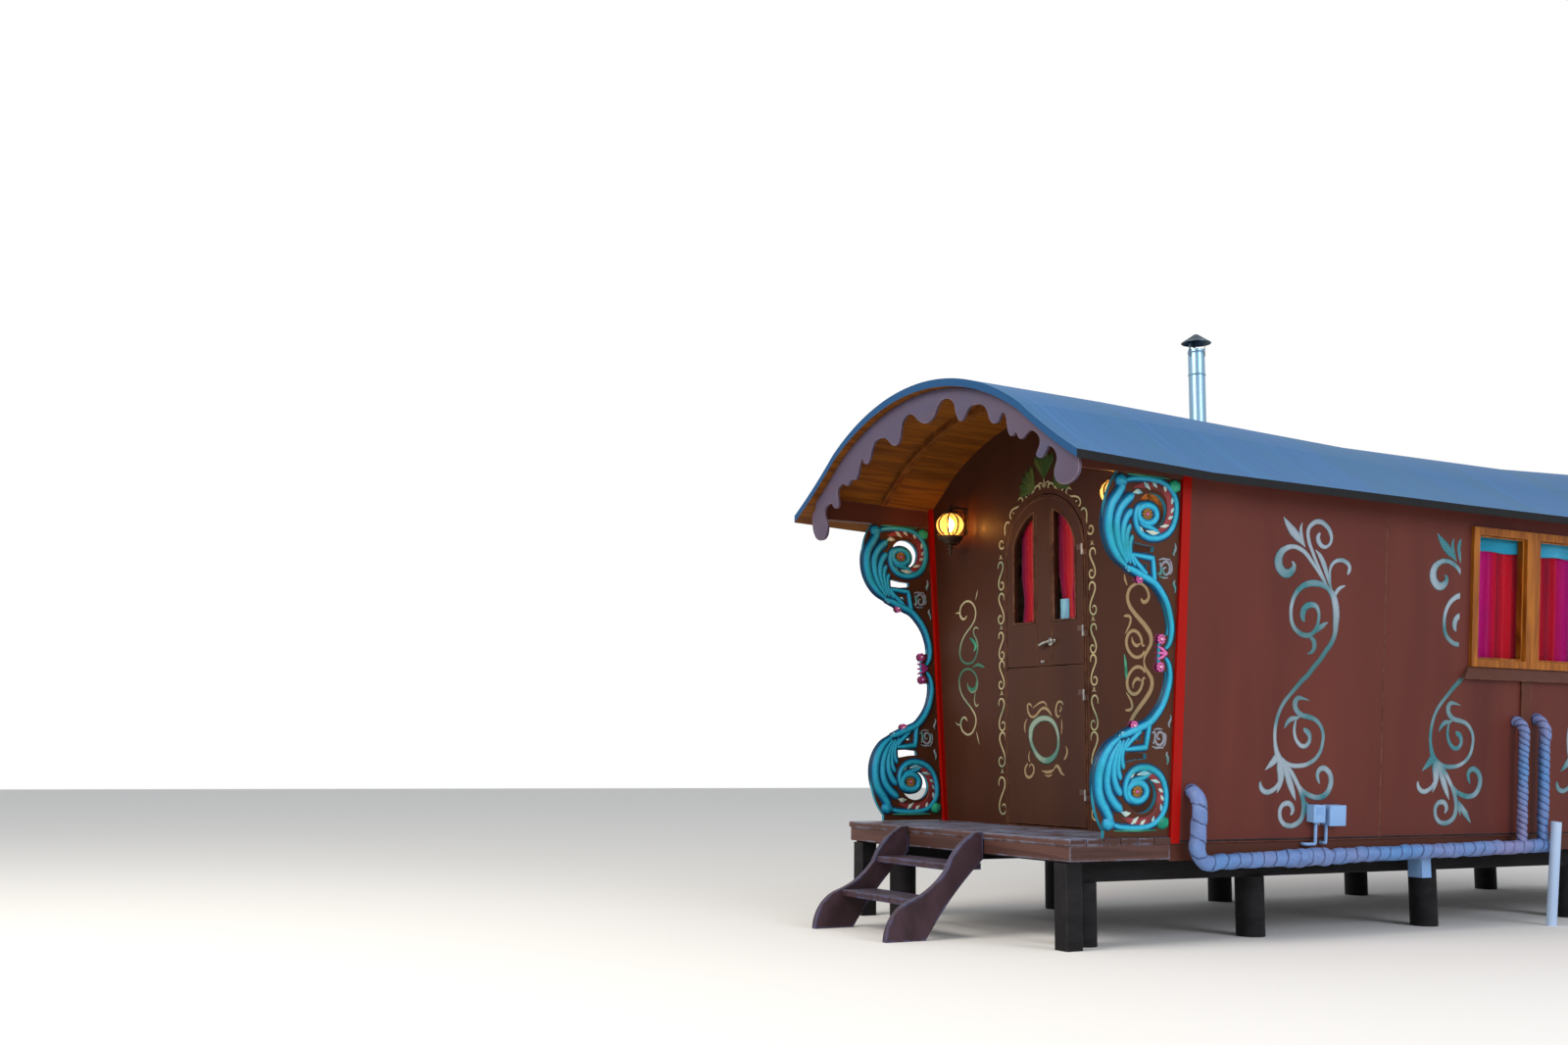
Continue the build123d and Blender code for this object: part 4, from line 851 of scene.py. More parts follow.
def wider(strokes, times=1, more=0):
    """The same strokes with other widths."""
    return [[(x, y, half * times + more) for x, y, half in stroke] for stroke in strokes]


def upside_down(strokes, middle=BRACKET_MIDDLE):
    """The same strokes, mirrored about a height."""
    return [[(x, 2 * middle - y, half) for x, y, half in stroke] for stroke in strokes]


def both_ways(strokes):
    """The strokes, and the same again upside down."""
    return list(strokes) + upside_down(strokes)


def carve(
    name, strokes, height, material, smoothness=4, lift=0.0, replaced=""
):
    """Strokes on the outer and the inner face of both brackets."""
    pattern = draw_strokes(name, strokes, height, smoothness)
    for hand, side in SIDES:
        for level, facing, face in ((OUTER_FACE, 1, "outer"), (INNER_FACE, -1, "inner")):
            twin = copy_of(pattern, f"{name}_{side}_{face}")
            turned_out = out_by(level + facing * lift) @ Matrix.Scale(facing, 4, (0, 0, 1))
            put(twin, side_wall(hand) @ turned_out, "wagon", material, replaced.format(side))
    bpy.data.objects.remove(pattern)


# %% Feathers, ring and tail
feathers = (
    ((-434, 1826, 28), (-462, 1782, 30), (-503, 1722, 32), (-519, 1638, 33), (-503, 1545, 32),
     (-452, 1460, 25), (-380, 1402, 10)),
    ((-372, 1774, 26), (-412, 1742, 28), (-455, 1680, 29), (-464, 1600, 29), (-440, 1512, 26),
     (-382, 1424, 10)),
    ((-376, 1692, 24), (-400, 1662, 25), (-421, 1596, 25), (-412, 1514, 22), (-376, 1432, 9)),
    ((-377, 1614, 19), (-388, 1590, 20), (-393, 1542, 20), (-383, 1486, 17), (-358, 1422, 8)),
    ((-357, 1560, 16), (-364, 1542, 17), (-369, 1509, 17), (-357, 1460, 15), (-326, 1412, 8)),
)
ring = (
    ((-416, 1850, 8), (-392, 1862, 14), (-330, 1872, 16), (-230, 1874, 17), (-152, 1860, 17),
     (-100, 1828, 18), (-68, 1780, 19), (-60, 1735, 19), (-68, 1668, 19), (-98, 1612, 19),
     (-150, 1577, 19), (-207, 1564, 19), (-262, 1569, 18), (-302, 1590, 18), (-330, 1626, 18),
     (-340, 1676, 18), (-326, 1718, 16), (-290, 1744, 8)),
    ellipse(-257, 1688, 62, 47, 21),
    ((-322, 1660, 8), (-290, 1634, 15), (-240, 1621, 15), (-192, 1606, 11), (-160, 1588, 3)),
)
tail = (
    ((-384, 1402, 13), (-345, 1390, 18), (-300, 1373, 20), (-235, 1349, 20), (-189, 1328, 19),
     (-140, 1282, 19), (-98, 1222, 18), (-74, 1160, 17), (-62, 1100, 17), (-64, 1050, 15),
     (-76, 1012, 13), (-98, 986, 7)),
    ((-350, 1470, 10), (-300, 1466, 12), (-250, 1462, 14), (-210, 1458, 15)),
    ((-212, 1468, 13), (-205, 1430, 15), (-200, 1390, 16), (-192, 1334, 15)),
    ((-352, 1470, 10), (-320, 1432, 14), (-285, 1402, 15), (-250, 1372, 14)),
)
balls = ((-444, 1850, 40), (-76, 1850, 38))
carved = [rounded(stroke) for stroke in wider(feathers, 0.92)] + list(ring) + wider(tail, 1.1)
shadow = wider(feathers + ring + tail, more=7)
outer_ball, inner_ball = [button(*balls[0])], [button(*balls[1])]
carve("bracket_carving", both_ways(carved), 0.55, carving_blue, smoothness=6,
      replaced="bracket_scroll_{}")
# The deep blue layer under the strokes is painted shade in the grooves and along the outlines.
carve("bracket_grooves", both_ways(shadow), 0.1, groove_blue)
carve("bracket_ball_outer", both_ways(outer_ball), 0.4, carving_blue, smoothness=6)
carve("bracket_ball_inner", both_ways(inner_ball), 0.4, ball_green, smoothness=6)

# %% Between the ring and the rosette
red_band = [
    ((-352, 1822, 4), (-300, 1836, 18), (-230, 1842, 22), (-165, 1832, 26), (-118, 1796, 28),
     (-100, 1735, 28), (-108, 1672, 26), (-140, 1622, 22), (-190, 1598, 16), (-240, 1592, 6)),
]
slashes = [
    ((-146, 1860, 2), (-143, 1836, 10), (-136, 1806, 2)),
    ((-232, 1863, 2), (-216, 1850, 10), (-193, 1830, 2)),
    ((-290, 1856, 2), (-270, 1841, 11), (-243, 1818, 2)),
    ((-360, 1792, 2), (-328, 1802, 13), (-296, 1798, 2)),
    ((-76, 1804, 2), (-88, 1776, 10), (-97, 1744, 2)),
    ((-70, 1738, 2), (-86, 1722, 9), (-100, 1698, 2)),
    ((-78, 1690, 2), (-98, 1682, 9), (-118, 1668, 2)),
    ((-104, 1642, 2), (-134, 1634, 9), (-166, 1628, 2)),
    ((-168, 1596, 2), (-214, 1592, 12), (-262, 1600, 2)),
    ((-268, 1580, 2), (-302, 1602, 13), (-338, 1628, 2)),
    ((-392, 1400, 3), (-366, 1392, 11), (-338, 1390, 9), (-318, 1398, 3)),
]
carve("bracket_band", both_ways(red_band), 0.12, band_red)
carve("bracket_leaves", both_ways(wider(slashes, 1.35)), 0.4, pale_leaf, lift=1)

# %% Flowers and beads
LOW_FLOWER, HIGH_FLOWER, ROSETTE = (-130, 1036), (-293, 1346), (-257, 1688)
PETAL = ((0.15, 0.4), (0.6, 1.1), (0.85, 1), (1, 0.4))


def daisy(x, y, reach, petals, turn=0.0):
    """Petals round a middle."""
    strokes = []
    for number in range(petals):
        angle = turn + 2 * pi * number / petals
        dx, dy = reach * cos(angle), reach * sin(angle)
        width = reach * 2.3 / petals
        strokes.append([(x + dx * at, y + dy * at, width * wide) for at, wide in PETAL])
    return strokes


pinks = []
for (x, y), reach in ((LOW_FLOWER, 28), (HIGH_FLOWER, 26)):
    pinks += daisy(x, y, reach, 9) + daisy(x, 2 * BRACKET_MIDDLE - y, reach, 9, 0.2)
for dy in (-20, 0, 20):
    pinks.append(((-88, 963, 6), (-120, 963 + dy, 10), (-150, 963 + 1.7 * dy, 4)))
hearts = [button(*LOW_FLOWER, 11), button(*HIGH_FLOWER, 10)]
discs = [button(*LOW_FLOWER, 25), button(*HIGH_FLOWER, 23)]
rosette, rosette_heart = daisy(*ROSETTE, 36, 10), [button(*ROSETTE, 11)]
carve("bracket_pinks", pinks, 0.55, pink_paint, 4, 2, "bracket_flowers")
carve("bracket_hearts", both_ways(hearts), 1.6, heart_pink)
carve("bracket_flower_discs", both_ways(discs), 0.3, groove_pink)
carve("bracket_rosette", both_ways(rosette), 0.8, ochre_paint)
carve("bracket_rosette_heart", both_ways(rosette_heart), 0.9, pink_paint)

# %% Small applied carvings beside the stripe
swirl = [
    ((-172, 1384, 4), (-156, 1378, 8), (-150, 1398, 8), (-152, 1420, 8), (-160, 1440, 5)),
    ((-150, 1400, 3), (-142, 1432, 8), (-120, 1446, 9), (-98, 1434, 9), (-90, 1408, 9),
     (-100, 1384, 8), (-120, 1378, 8), (-134, 1392, 7), (-130, 1412, 7), (-114, 1414, 5)),
    ((-92, 1380, 3), (-80, 1392, 8), (-78, 1420, 8), (-84, 1444, 7), (-96, 1456, 3)),
    ((-168, 1452, 3), (-140, 1460, 7), (-110, 1458, 7), (-88, 1462, 3)),
    ((-160, 1366, 3), (-130, 1360, 6), (-100, 1362, 3)),
]
drops = [
    ((-60, 1548, 2), (-54, 1530, 7), (-58, 1508, 9), (-66, 1492, 7), (-60, 1480, 3)),
    ((-50, 1352, 3), (-58, 1336, 8), (-50, 1318, 8), (-44, 1298, 5), (-48, 1284, 2)),
]
top_leaf = [
    ((-404, 1888, 3), (-350, 1889, 7), (-290, 1888, 8), (-230, 1889, 8), (-170, 1888, 7),
     (-118, 1889, 3)),
]
carve("bracket_applied", both_ways(swirl + drops), 0.7, applied_lilac)
carve("bracket_leaf_band", both_ways(top_leaf), 1.2, leaf_paint)

# %% [markdown]
# ## The painting of the front wall and the door
#
# A border of small S curls runs up both sides of the doorway and over its arch, with a knot after
# every second curl. One curl is drawn, and the border is a list of where its ends go. Taller
# scrolls stand at both sides, and the lower leaf carries a ring with leaves. These were again read
# off by sight lines, and what hides behind the bracket follows from the symmetry of the scroll.

# %% The border round the door
S_CURL = (
    (-33, 160, 3), (-31, 188, 5.5), (-10, 207, 6.5), (17, 196, 7), (24, 168, 7), (10, 132, 6.5),
    (-10, 100, 7), (-25, 68, 6.5), (-29, 36, 6.5), (-14, 8, 6), (11, 3, 6), (30, 20, 6),
    (29, 46, 5.5), (10, 58, 5), (-6, 44, 2.5),
)
S_LENGTH = 210


def curl(start, end, hand=1):
    """The S curl from one point of the wall to another, in millimetres."""
    (x1, y1), (x2, y2) = start, end
    length = sqrt((x2 - x1) ** 2 + (y2 - y1) ** 2)
    ux, uy = (x2 - x1) / length, (y2 - y1) / length
    size = length / S_LENGTH
    return [
        (x1 + (ux * y + uy * x * hand) * size, y1 + (uy * y - ux * x * hand) * size, half)
        for x, y, half in S_CURL
    ]


def knot(x, y, size=17):
    """Four small leaves."""
    return [
        (
            (x - dx * size, y - dy * size, 1),
            (x - dx * size * 0.4, y - dy * size * 0.4, 4),
            (x, y, 2),
        )
        for dx, dy in ((1, 0.5), (-1, 0.5), (0.4, -1), (-0.4, -1))
    ]


def paint_on(
    name, strokes, material, height=0.1, place=FRONT_WALL, body="wagon"
):
    """Paint strokes on a wall, as one piece."""
    put(draw_strokes(name, strokes, height, 4, 1), place, body, material)


BORDER, ARCH_UP, ARCH_RADIUS = 436, 1572, 446
CURL_ENDS = ((60, 285), (345, 555), (562, 760), (815, 990), (997, 1165), (1215, 1405), (1425, 1600))
KNOT_HEIGHTS, ARCH_TURNS = (316, 788, 1190, 1625), (76, 53, 49, 28, 24, 5)


def on_arch(radius, turn):
    """A point on an arch over the door, turned from upright by degrees."""
    return radius * sin(radians(turn)), ARCH_UP + radius * cos(radians(turn))


border = []
for hand in (1, -1):
    x = hand * BORDER
    for number, (low, high) in enumerate(CURL_ENDS):
        border.append(curl((x, low), (x, high), hand * (1 if number % 2 else -1)))
    for up in KNOT_HEIGHTS:
        border += knot(x, up)
    rim = [on_arch(ARCH_RADIUS, turn) for turn in ARCH_TURNS]
    rim = [(hand * x, y) for x, y in rim]
    for number, (low, high) in enumerate(zip(rim[::2], rim[1::2])):
        border.append(curl(low, high, hand * (-1 if number % 2 else 1)))
paint_on("door_border", border, cream_paint, 0.12)

# %% The crest above the arch
def shell(x, y, reach, turn, blades=5, spread=0.36):
    """A shell of leaf blades that open out from a point, turned from upright by turn."""
    strokes = []
    for number in range(blades):
        angle = turn + spread * (number - (blades - 1) / 2)
        dx, dy = reach * sin(angle), reach * cos(angle)
        blade = ((0, 5), (0.5, reach * 0.13), (0.85, reach * 0.19), (1, 5))
        strokes.append([(x + dx * at, y + dy * at, half) for at, half in blade])
    return strokes


crest = shell(0, 2062, 168, 0, 4) + shell(-92, 2008, 150, -0.95) + shell(92, 2008, 150, 0.95)
leaflet = ((8, 2010, 3), (32, 2040, 5), (52, 2028, 5), (46, 2012, 2))
crown = [((0, 2008, 3), (0, 2035, 7), (0, 2062, 2))] + [
    [(hand * x, y, half) for x, y, half in leaflet] for hand in (-1, 1)
]
paint_on("door_crest", crest, olive_paint, 0.15)
paint_on("door_crown", crown, cream_paint, 0.15)

# %% The tall scrolls beside the door
def read_off(place, strokes, corner, zoom):
    """Strokes read from an enlarged part of the picture, in millimetres on a wall. corner is the
    picture point at the top left of that part and zoom how much it was enlarged."""
    left, top = corner
    return [
        [(*sighted(place, left + x / zoom, top + y / zoom), half) for x, y, half in stroke]
        for stroke in strokes
    ]


left_scroll = read_off(FRONT_WALL, (
    ((130, 770, 4), (112, 790, 9), (92, 775, 11), (88, 735, 9), (105, 697, 8), (138, 680, 8),
     (168, 700, 8), (183, 740, 8), (178, 790, 8), (155, 835, 8), (122, 880, 8), (98, 930, 9),
     (88, 975, 10), (88, 1015, 9), (102, 1045, 9), (130, 1062, 8), (165, 1052, 8), (188, 1010, 8),
     (196, 960, 9), (188, 915, 7), (172, 880, 6), (172, 855, 6), (185, 840, 6), (200, 850, 4)),
    ((60, 755, 2), (75, 752, 7), (92, 760, 4)),
    ((195, 612, 2), (190, 640, 5), (182, 672, 2)),
    ((132, 1180, 4), (140, 1215, 8), (165, 1238, 9), (190, 1212, 9), (193, 1160, 8), (172, 1115, 8),
     (138, 1095, 8), (105, 1110, 9), (85, 1150, 9), (85, 1200, 9), (98, 1250, 8), (130, 1300, 8),
     (165, 1348, 8), (185, 1400, 8), (175, 1460, 8), (148, 1495, 8), (115, 1487, 8), (93, 1448, 9),
     (95, 1412, 9), (118, 1392, 9), (132, 1412, 4)),
    ((182, 1240, 3), (176, 1285, 6), (188, 1322, 6), (202, 1308, 3)),
    ((60, 1422, 2), (75, 1435, 6), (95, 1440, 4)),
    ((165, 1085, 4), (195, 1070, 12), (222, 1078, 12), (238, 1085, 3)),
    ((188, 1478, 2), (196, 1515, 6), (206, 1556, 2)),
), (965, 500), 6)
left_leaf = read_off(FRONT_WALL, (
    ((148, 905, 4), (168, 925, 15), (184, 958, 17), (172, 985, 6)),
    ((140, 1200, 3), (162, 1222, 12), (186, 1200, 10), (188, 1170, 3)),
), (965, 500), 6)
right_half = read_off(FRONT_WALL, (
    ((515, 405, 6), (530, 430, 10), (558, 428, 11), (578, 395, 10), (570, 345, 9), (545, 305, 8),
     (505, 280, 8), (455, 295, 9), (418, 335, 11), (405, 395, 12), (418, 455, 12), (455, 515, 12),
     (505, 575, 13), (555, 635, 14), (592, 700, 14), (598, 765, 13), (572, 825, 11), (548, 870, 9),
     (538, 925, 5)),
    ((545, 785, 4), (530, 790, 6), (520, 745, 9), (498, 695, 9), (460, 668, 9), (420, 685, 10),
     (398, 735, 11), (400, 795, 10), (430, 855, 9), (475, 885, 9), (520, 872, 9), (545, 835, 7)),
    ((440, 720, 3), (448, 760, 8), (480, 790, 10), (510, 770, 4)),
    ((378, 205, 3), (385, 250, 8), (402, 295, 4)),
    ((372, 550, 3), (395, 545, 8), (428, 560, 8), (425, 610, 8), (405, 655, 6), (385, 692, 2)),
), (1100, 560), 8)
right_leaf = read_off(FRONT_WALL, (
    ((378, 860, 4), (388, 930, 13), (394, 1010, 14), (400, 1080, 8), (406, 1140, 3)),
), (1100, 560), 8)
scroll_middle = sighted(FRONT_WALL, 1160, 675.6)[1]
right_half = wider(right_half, 1.4)
right_scroll = right_half + upside_down(right_half, scroll_middle)
paint_on("front_scroll_left", left_scroll, stem_paint)
paint_on("front_leaf_left", left_leaf, leaf_paint)
paint_on("front_scroll_right", right_scroll, tan_paint)
paint_on("front_leaf_right", right_leaf, leaf_paint)

# %% The rear wall takes the same scrolls at both sides of its window
REAR_OUT, REAR_UP = 820, 60
points = [x for stroke in left_scroll for x, _, _ in stroke]
middle_x = sum(points) / len(points)
for hand, side in SIDES:
    for name, strokes, material in (
        ("rear_scroll", left_scroll, stem_paint),
        ("rear_leaf", left_leaf, leaf_paint),
    ):
        moved = [
            [(hand * (x - middle_x + REAR_OUT), y + REAR_UP, half) for x, y, half in stroke]
            for stroke in strokes
        ]
        paint_on(f"{name}_{side}", moved, material, place=REAR_WALL)

# %% The ring on the lower leaf
LEAF_FACE = FRONT_WALL @ out_by(8)
green_ring = read_off(LEAF_FACE, (
    ((372, 745, 22), (380, 668, 26), (425, 605, 22), (490, 583, 19), (550, 608, 18), (588, 680, 15),
     (600, 760, 12), (592, 840, 14), (555, 905, 20), (500, 930, 22), (442, 900, 20), (402, 840, 16),
     (380, 785, 16), (372, 735, 20)),
), (1005, 660), 8)
cartouche = read_off(LEAF_FACE, (
    ((385, 490, 4), (372, 470, 8), (352, 470, 8), (350, 510, 9), (362, 550, 10), (385, 572, 10),
     (415, 562, 10), (440, 530, 10), (470, 502, 11), (505, 507, 13), (530, 535, 10), (545, 560, 4)),
    ((392, 500, 3), (415, 480, 6), (450, 456, 8), (480, 450, 8), (500, 470, 6), (505, 490, 3)),
    ((345, 585, 2), (330, 620, 8), (325, 660, 9), (330, 700, 3)),
    ((640, 472, 4), (625, 450, 8), (600, 450, 9), (585, 480, 9), (580, 530, 10), (595, 570, 9),
     (612, 556, 5)),
    ((620, 480, 3), (622, 510, 8), (608, 530, 5)),
    ((625, 590, 3), (628, 650, 7), (625, 712, 3)),
    ((365, 850, 2), (358, 900, 7), (365, 935, 7)),
    ((352, 950, 6), (332, 985, 10), (330, 1030, 11), (355, 1065, 12), (390, 1042, 10),
     (400, 992, 9), (380, 957, 7), (362, 978, 5)),
    ((465, 1010, 3), (500, 1022, 12), (540, 1017, 12), (565, 1000, 4)),
    ((490, 1045, 3), (520, 1055, 8), (550, 1040, 3)),
    ((560, 1000, 4), (590, 972, 12), (610, 1000, 15), (630, 1035, 9), (650, 1045, 3)),
    ((660, 810, 3), (672, 850, 9), (660, 900, 10), (645, 922, 4)),
), (1005, 660), 8)
paint_on("leaf_ring", green_ring, ring_paint, place=LEAF_FACE, body="lower_leaf")
paint_on("leaf_cartouche", cartouche, tan_paint, place=LEAF_FACE, body="lower_leaf")

# %% [markdown]
# ## The valance under the front of the roof
#
# A board hangs under the front edge of the roof. It was sawn freehand into lobes of unequal size,
# with smooth bows between them and rounded edges. Its lower line is again taken by sight lines, and
# its upper line is the soffit. A flat curve, filled and thickened with a small bevel, gives the
# board. The one at the rear has the same line, fitted to the lower roof there.

# %% The lower line of the valance
lobe_line = (
    (832, 519), (829, 526), (829, 537), (831, 546), (834, 550.5), (838, 551), (842, 548),
    (844, 541), (843.5, 533), (841.5, 526), (842, 519), (845, 514.5), (848.5, 514),
    (850.5, 517.5), (853.5, 518.5), (855.5, 515), (854.5, 508), (854.3, 501), (856.5, 496),
    (860, 493.5), (862.5, 495.2), (865.5, 495), (867.5, 491), (869.5, 489), (872.5, 489.5),
    (875, 485), (876.5, 477), (878, 470.5), (879.7, 468), (881, 472), (883.5, 473.5),
    (886.5, 470), (889, 461.5), (891.3, 453.5), (895, 448.5), (899.5, 446.8), (904, 447.8),
    (907.3, 451.5), (910.5, 454.3), (914, 454.3), (917.5, 449.5), (919, 440), (920.5, 431),
    (924, 425), (928, 422.6), (932, 424), (935.5, 428), (940, 431.3), (945.5, 431.5),
    (950.5, 428), (954.5, 420), (957.5, 412.5), (961, 408), (965.5, 406.6), (970, 408),
    (973, 412), (974.3, 419), (976.3, 425.5), (979.5, 429.5), (982.5, 427.5), (985.3, 421),
    (989, 415.5), (994, 412.8), (999.5, 412.7), (1004, 414.7), (1007, 419.5), (1009, 426.5),
    (1011.5, 431), (1015, 432), (1018.5, 430), (1021, 423.5), (1023.3, 420.8), (1025.7, 424),
    (1027, 432), (1028.3, 440), (1031, 444.7), (1034, 443.5), (1036.3, 440.5), (1038.3, 445),
    (1041.3, 447.8), (1044.5, 445.5), (1048, 441), (1052, 439), (1056.5, 441), (1060, 446),
    (1060.5, 453), (1058.3, 459.5), (1057, 464), (1060, 467), (1064, 465.3), (1067.3, 459),
    (1070, 454.8), (1073.5, 456), (1076.5, 460.5), (1078, 467), (1076.8, 474), (1075.3, 481),
    (1076.3, 488), (1080, 492.3), (1085, 494), (1090.5, 492.5), (1096.5, 487.5), (1100.5, 480),
    (1103.5, 471), (1106, 462.5),
)
VALANCE_FACE = FRONT_WALL @ out_by(862)
VALANCE_END = 1392
lower_line = [sighted(VALANCE_FACE, x, y) for x, y in lobe_line]
lower_line = [(x, y) for x, y in lower_line if abs(x) < VALANCE_END]
print("valance from", round(lower_line[0][0]), "to", round(lower_line[-1][0]), "mm")

# %% The valances
def soffit(x, crown, eaves):
    """Height of the soffit over the deck: an arc over the middle, hollow towards the eaves."""
    knee_half, knee_drop, eaves_half, hollow = 950, 275, 1430, 48
    radius = (knee_half**2 + knee_drop**2) / (2 * knee_drop)
    if abs(x) <= knee_half:
        return crown - radius + sqrt(radius**2 - x**2)
    share = (abs(x) - knee_half) / (eaves_half - knee_half)
    knee = crown - knee_drop
    return knee + (eaves - knee) * share - hollow * share * (1 - share)


def close_up(angle):
    """Merge what meets, turn all faces outwards, and shade sharp what turns by more than angle."""
    with editing():
        bpy.ops.mesh.remove_doubles(threshold=0.0001)
        bpy.ops.mesh.normals_make_consistent(inside=False)
    bpy.ops.object.shade_smooth_by_angle(angle=radians(angle))


def flat_board(name, outline, thickness, bevel):
    """A filled curve, thickened about its own plane, as a mesh."""
    drawing = new_curve(
        name, dimensions="2D", fill_mode="BOTH", extrude=(thickness / 2 - bevel) / 1000,
        bevel_depth=bevel / 1000, bevel_resolution=2, offset=-bevel / 1000, resolution_u=4)
    kinds = [kind for _, _, kind in outline]
    add_line(drawing, [(x, y, 0) for x, y, _ in outline], kinds, closed=True)
    bpy.ops.object.convert(target="MESH")
    close_up(40)
    return drawing


def valance_outline(crown, eaves, drop, steps=40):
    """The lower line, moved down by drop, and the soffit over it."""
    outline = [(x, y - drop, SMOOTH) for x, y in lower_line]
    first, last = lower_line[0][0], lower_line[-1][0]
    for step in range(steps + 1):
        x = last + (first - last) * step / steps
        outline.append((x, soffit(x, crown, eaves) - 1.5, SHARP))
    return outline


for name, place, crown, eaves, drop in (
    ("valance_front", FRONT_WALL @ out_by(853), 2488.4, 1886.8, 0),
    ("valance_rear", REAR_WALL @ out_by(231), 2475.4, 1860.1, 22),
):
    piece = flat_board(name, valance_outline(crown, eaves, drop), 18, 3)
    put(piece, place, "wagon", mauve, "valances")

# %% [markdown]
# ## Glazing beads and mouldings
#
# Each pane is held by a thin bead. For the windows it is a flat rectangle whose middle is inset and
# taken out, and whose frame is then extruded and bevelled. The panes of the door have a round head,
# so there a thin stroke is led round the pane.

# %% Beads round the window panes
def bead(name, width, height, strip, depth):
    """A rectangular frame in its own plane, centred, in millimetres."""
    deselect()
    bpy.ops.mesh.primitive_plane_add(size=1)
    piece = bpy.context.object
    piece.name = piece.data.name = name
    piece.data.transform(Matrix.Diagonal((width / 1000, height / 1000, 1, 1)))
    with editing():
        bpy.ops.mesh.select_mode(type="FACE")
        bpy.ops.mesh.select_all(action="SELECT")
        bpy.ops.mesh.inset(thickness=strip / 1000)
        bpy.ops.mesh.delete(type="FACE")
        bpy.ops.mesh.select_all(action="SELECT")
        bpy.ops.mesh.extrude_region_move(TRANSFORM_OT_translate={"value": (0, 0, depth / 1000)})
        bpy.ops.mesh.select_all(action="SELECT")
        bpy.ops.mesh.normals_make_consistent(inside=False)
        bpy.ops.mesh.bevel(offset=min(strip, depth) * 0.0003, segments=2)
    bpy.ops.object.shade_smooth_by_angle(angle=radians(40))
    return piece


WINDOW_BOTTOM, STILE, MULLION, RAIL = 975, 50, 120, 45
LIGHT_WIDTH = (1090 - 2 * STILE - MULLION) / 2
LIGHT_HEIGHT = 835 - 2 * RAIL
LIGHT_UP = WINDOW_BOTTOM + RAIL + LIGHT_HEIGHT / 2
PLAY, BEHIND_FACE = 0.6, -9.7
windows = [(side, side_wall(hand) @ Matrix.Translation((LENGTH / 2, 0, 0))) for hand, side in SIDES]
windows.append(("rear", REAR_WALL))
for side, place in windows:
    for number, across in enumerate((-1, 1)):
        name = f"window_bead_{side}_{number + 1}"
        strip = bead(name, LIGHT_WIDTH - PLAY, LIGHT_HEIGHT - PLAY, 11, 8)
        spot = shift(across * (MULLION + LIGHT_WIDTH) / 2, LIGHT_UP, BEHIND_FACE)
        put(strip, place @ spot, "wagon", varnish)

# %% Beads and mouldings of the door
def pane_path(side, inner, outer, bottom, radius):
    """The outline of a pane of the upper leaf, from its lower inner corner."""
    path = [(side * inner, bottom), (side * outer, bottom)]
    for step in range(9):
        x = outer + (inner - outer) * step / 8
        path.append((side * x, ARCH_UP + sqrt(radius**2 - x**2)))
    return path


def moulding(name, path, half, height, closed=False):
    """A half-round strip along a path with sharp corners."""
    drawing = new_curve(name, bevel_depth=half / 1000, bevel_resolution=2, resolution_u=1)
    add_line(drawing, [(x, y, 0) for x, y in path], [SHARP] * len(path), closed=closed)
    bpy.ops.object.convert(target="MESH")
    drawing.data.transform(Matrix.Scale(height, 4, (0, 0, 1)))
    bpy.ops.object.shade_smooth_by_angle(angle=radians(50))
    return drawing


JAMB = 374
PANE = {"inner": 92, "outer": 294, "bottom": 1203, "radius": 309}
for side, hand in (("left", -1), ("right", 1)):
    strip = moulding(f"door_bead_{side}", pane_path(hand, **PANE), 7, 0.9, True)
    put(strip, LEAF_FACE, "upper_leaf", door_brown)
    strip = moulding(f"stile_line_{side}", ((hand * 70, 965), (hand * 70, 1850)), 4, 0.8)
    put(strip, LEAF_FACE, "upper_leaf", door_brown)
head = [on_arch(JAMB, turn) for turn in range(-90, 91, 9)]
strip = moulding("door_arch_moulding", [(-JAMB, 15)] + head + [(JAMB, 15)], 7, 0.9)
put(strip, FRONT_WALL @ out_by(4), "wagon", door_brown)

# %% Strips over the joints of the side walls' sheets, and a dark strip at their foot that is painted shadow
SHEET_JOINTS, FOOT_END = (1534, 4066), 4
for hand, side in SIDES:
    for number, along in enumerate(SHEET_JOINTS):
        strip = moulding(f"sheet_joint_{side}_{number + 1}", ((along, -25), (along, 1800)), 5, 0.5)
        put(strip, side_wall(hand), "wagon", brown)
    # A thin dark strip along the foot of the wall is painted shadow where the wall meets the skirt.
    foot = ((FOOT_END, -21), (LENGTH * 1000 - FOOT_END, -21))
    strip = moulding(f"shadow_strip_{side}", foot, 5, 0.4)
    put(strip, side_wall(hand), "wagon", dark_timber)

# %% [markdown]
# ## Curtains and blinds
#
# Each window has a short teal blind at its head and two curtains behind it, gathered on a rail. A
# gathered curtain has many narrow folds at the top, which join into fewer and deeper ones lower
# down. It starts as a fine grid. A sum of waves pushes its points in and out, and the share of each
# wave changes with the height. The colours are woven in stripes along the cloth, so they follow its
# UV map, and a Solidify modifier gives the cloth its real thickness.

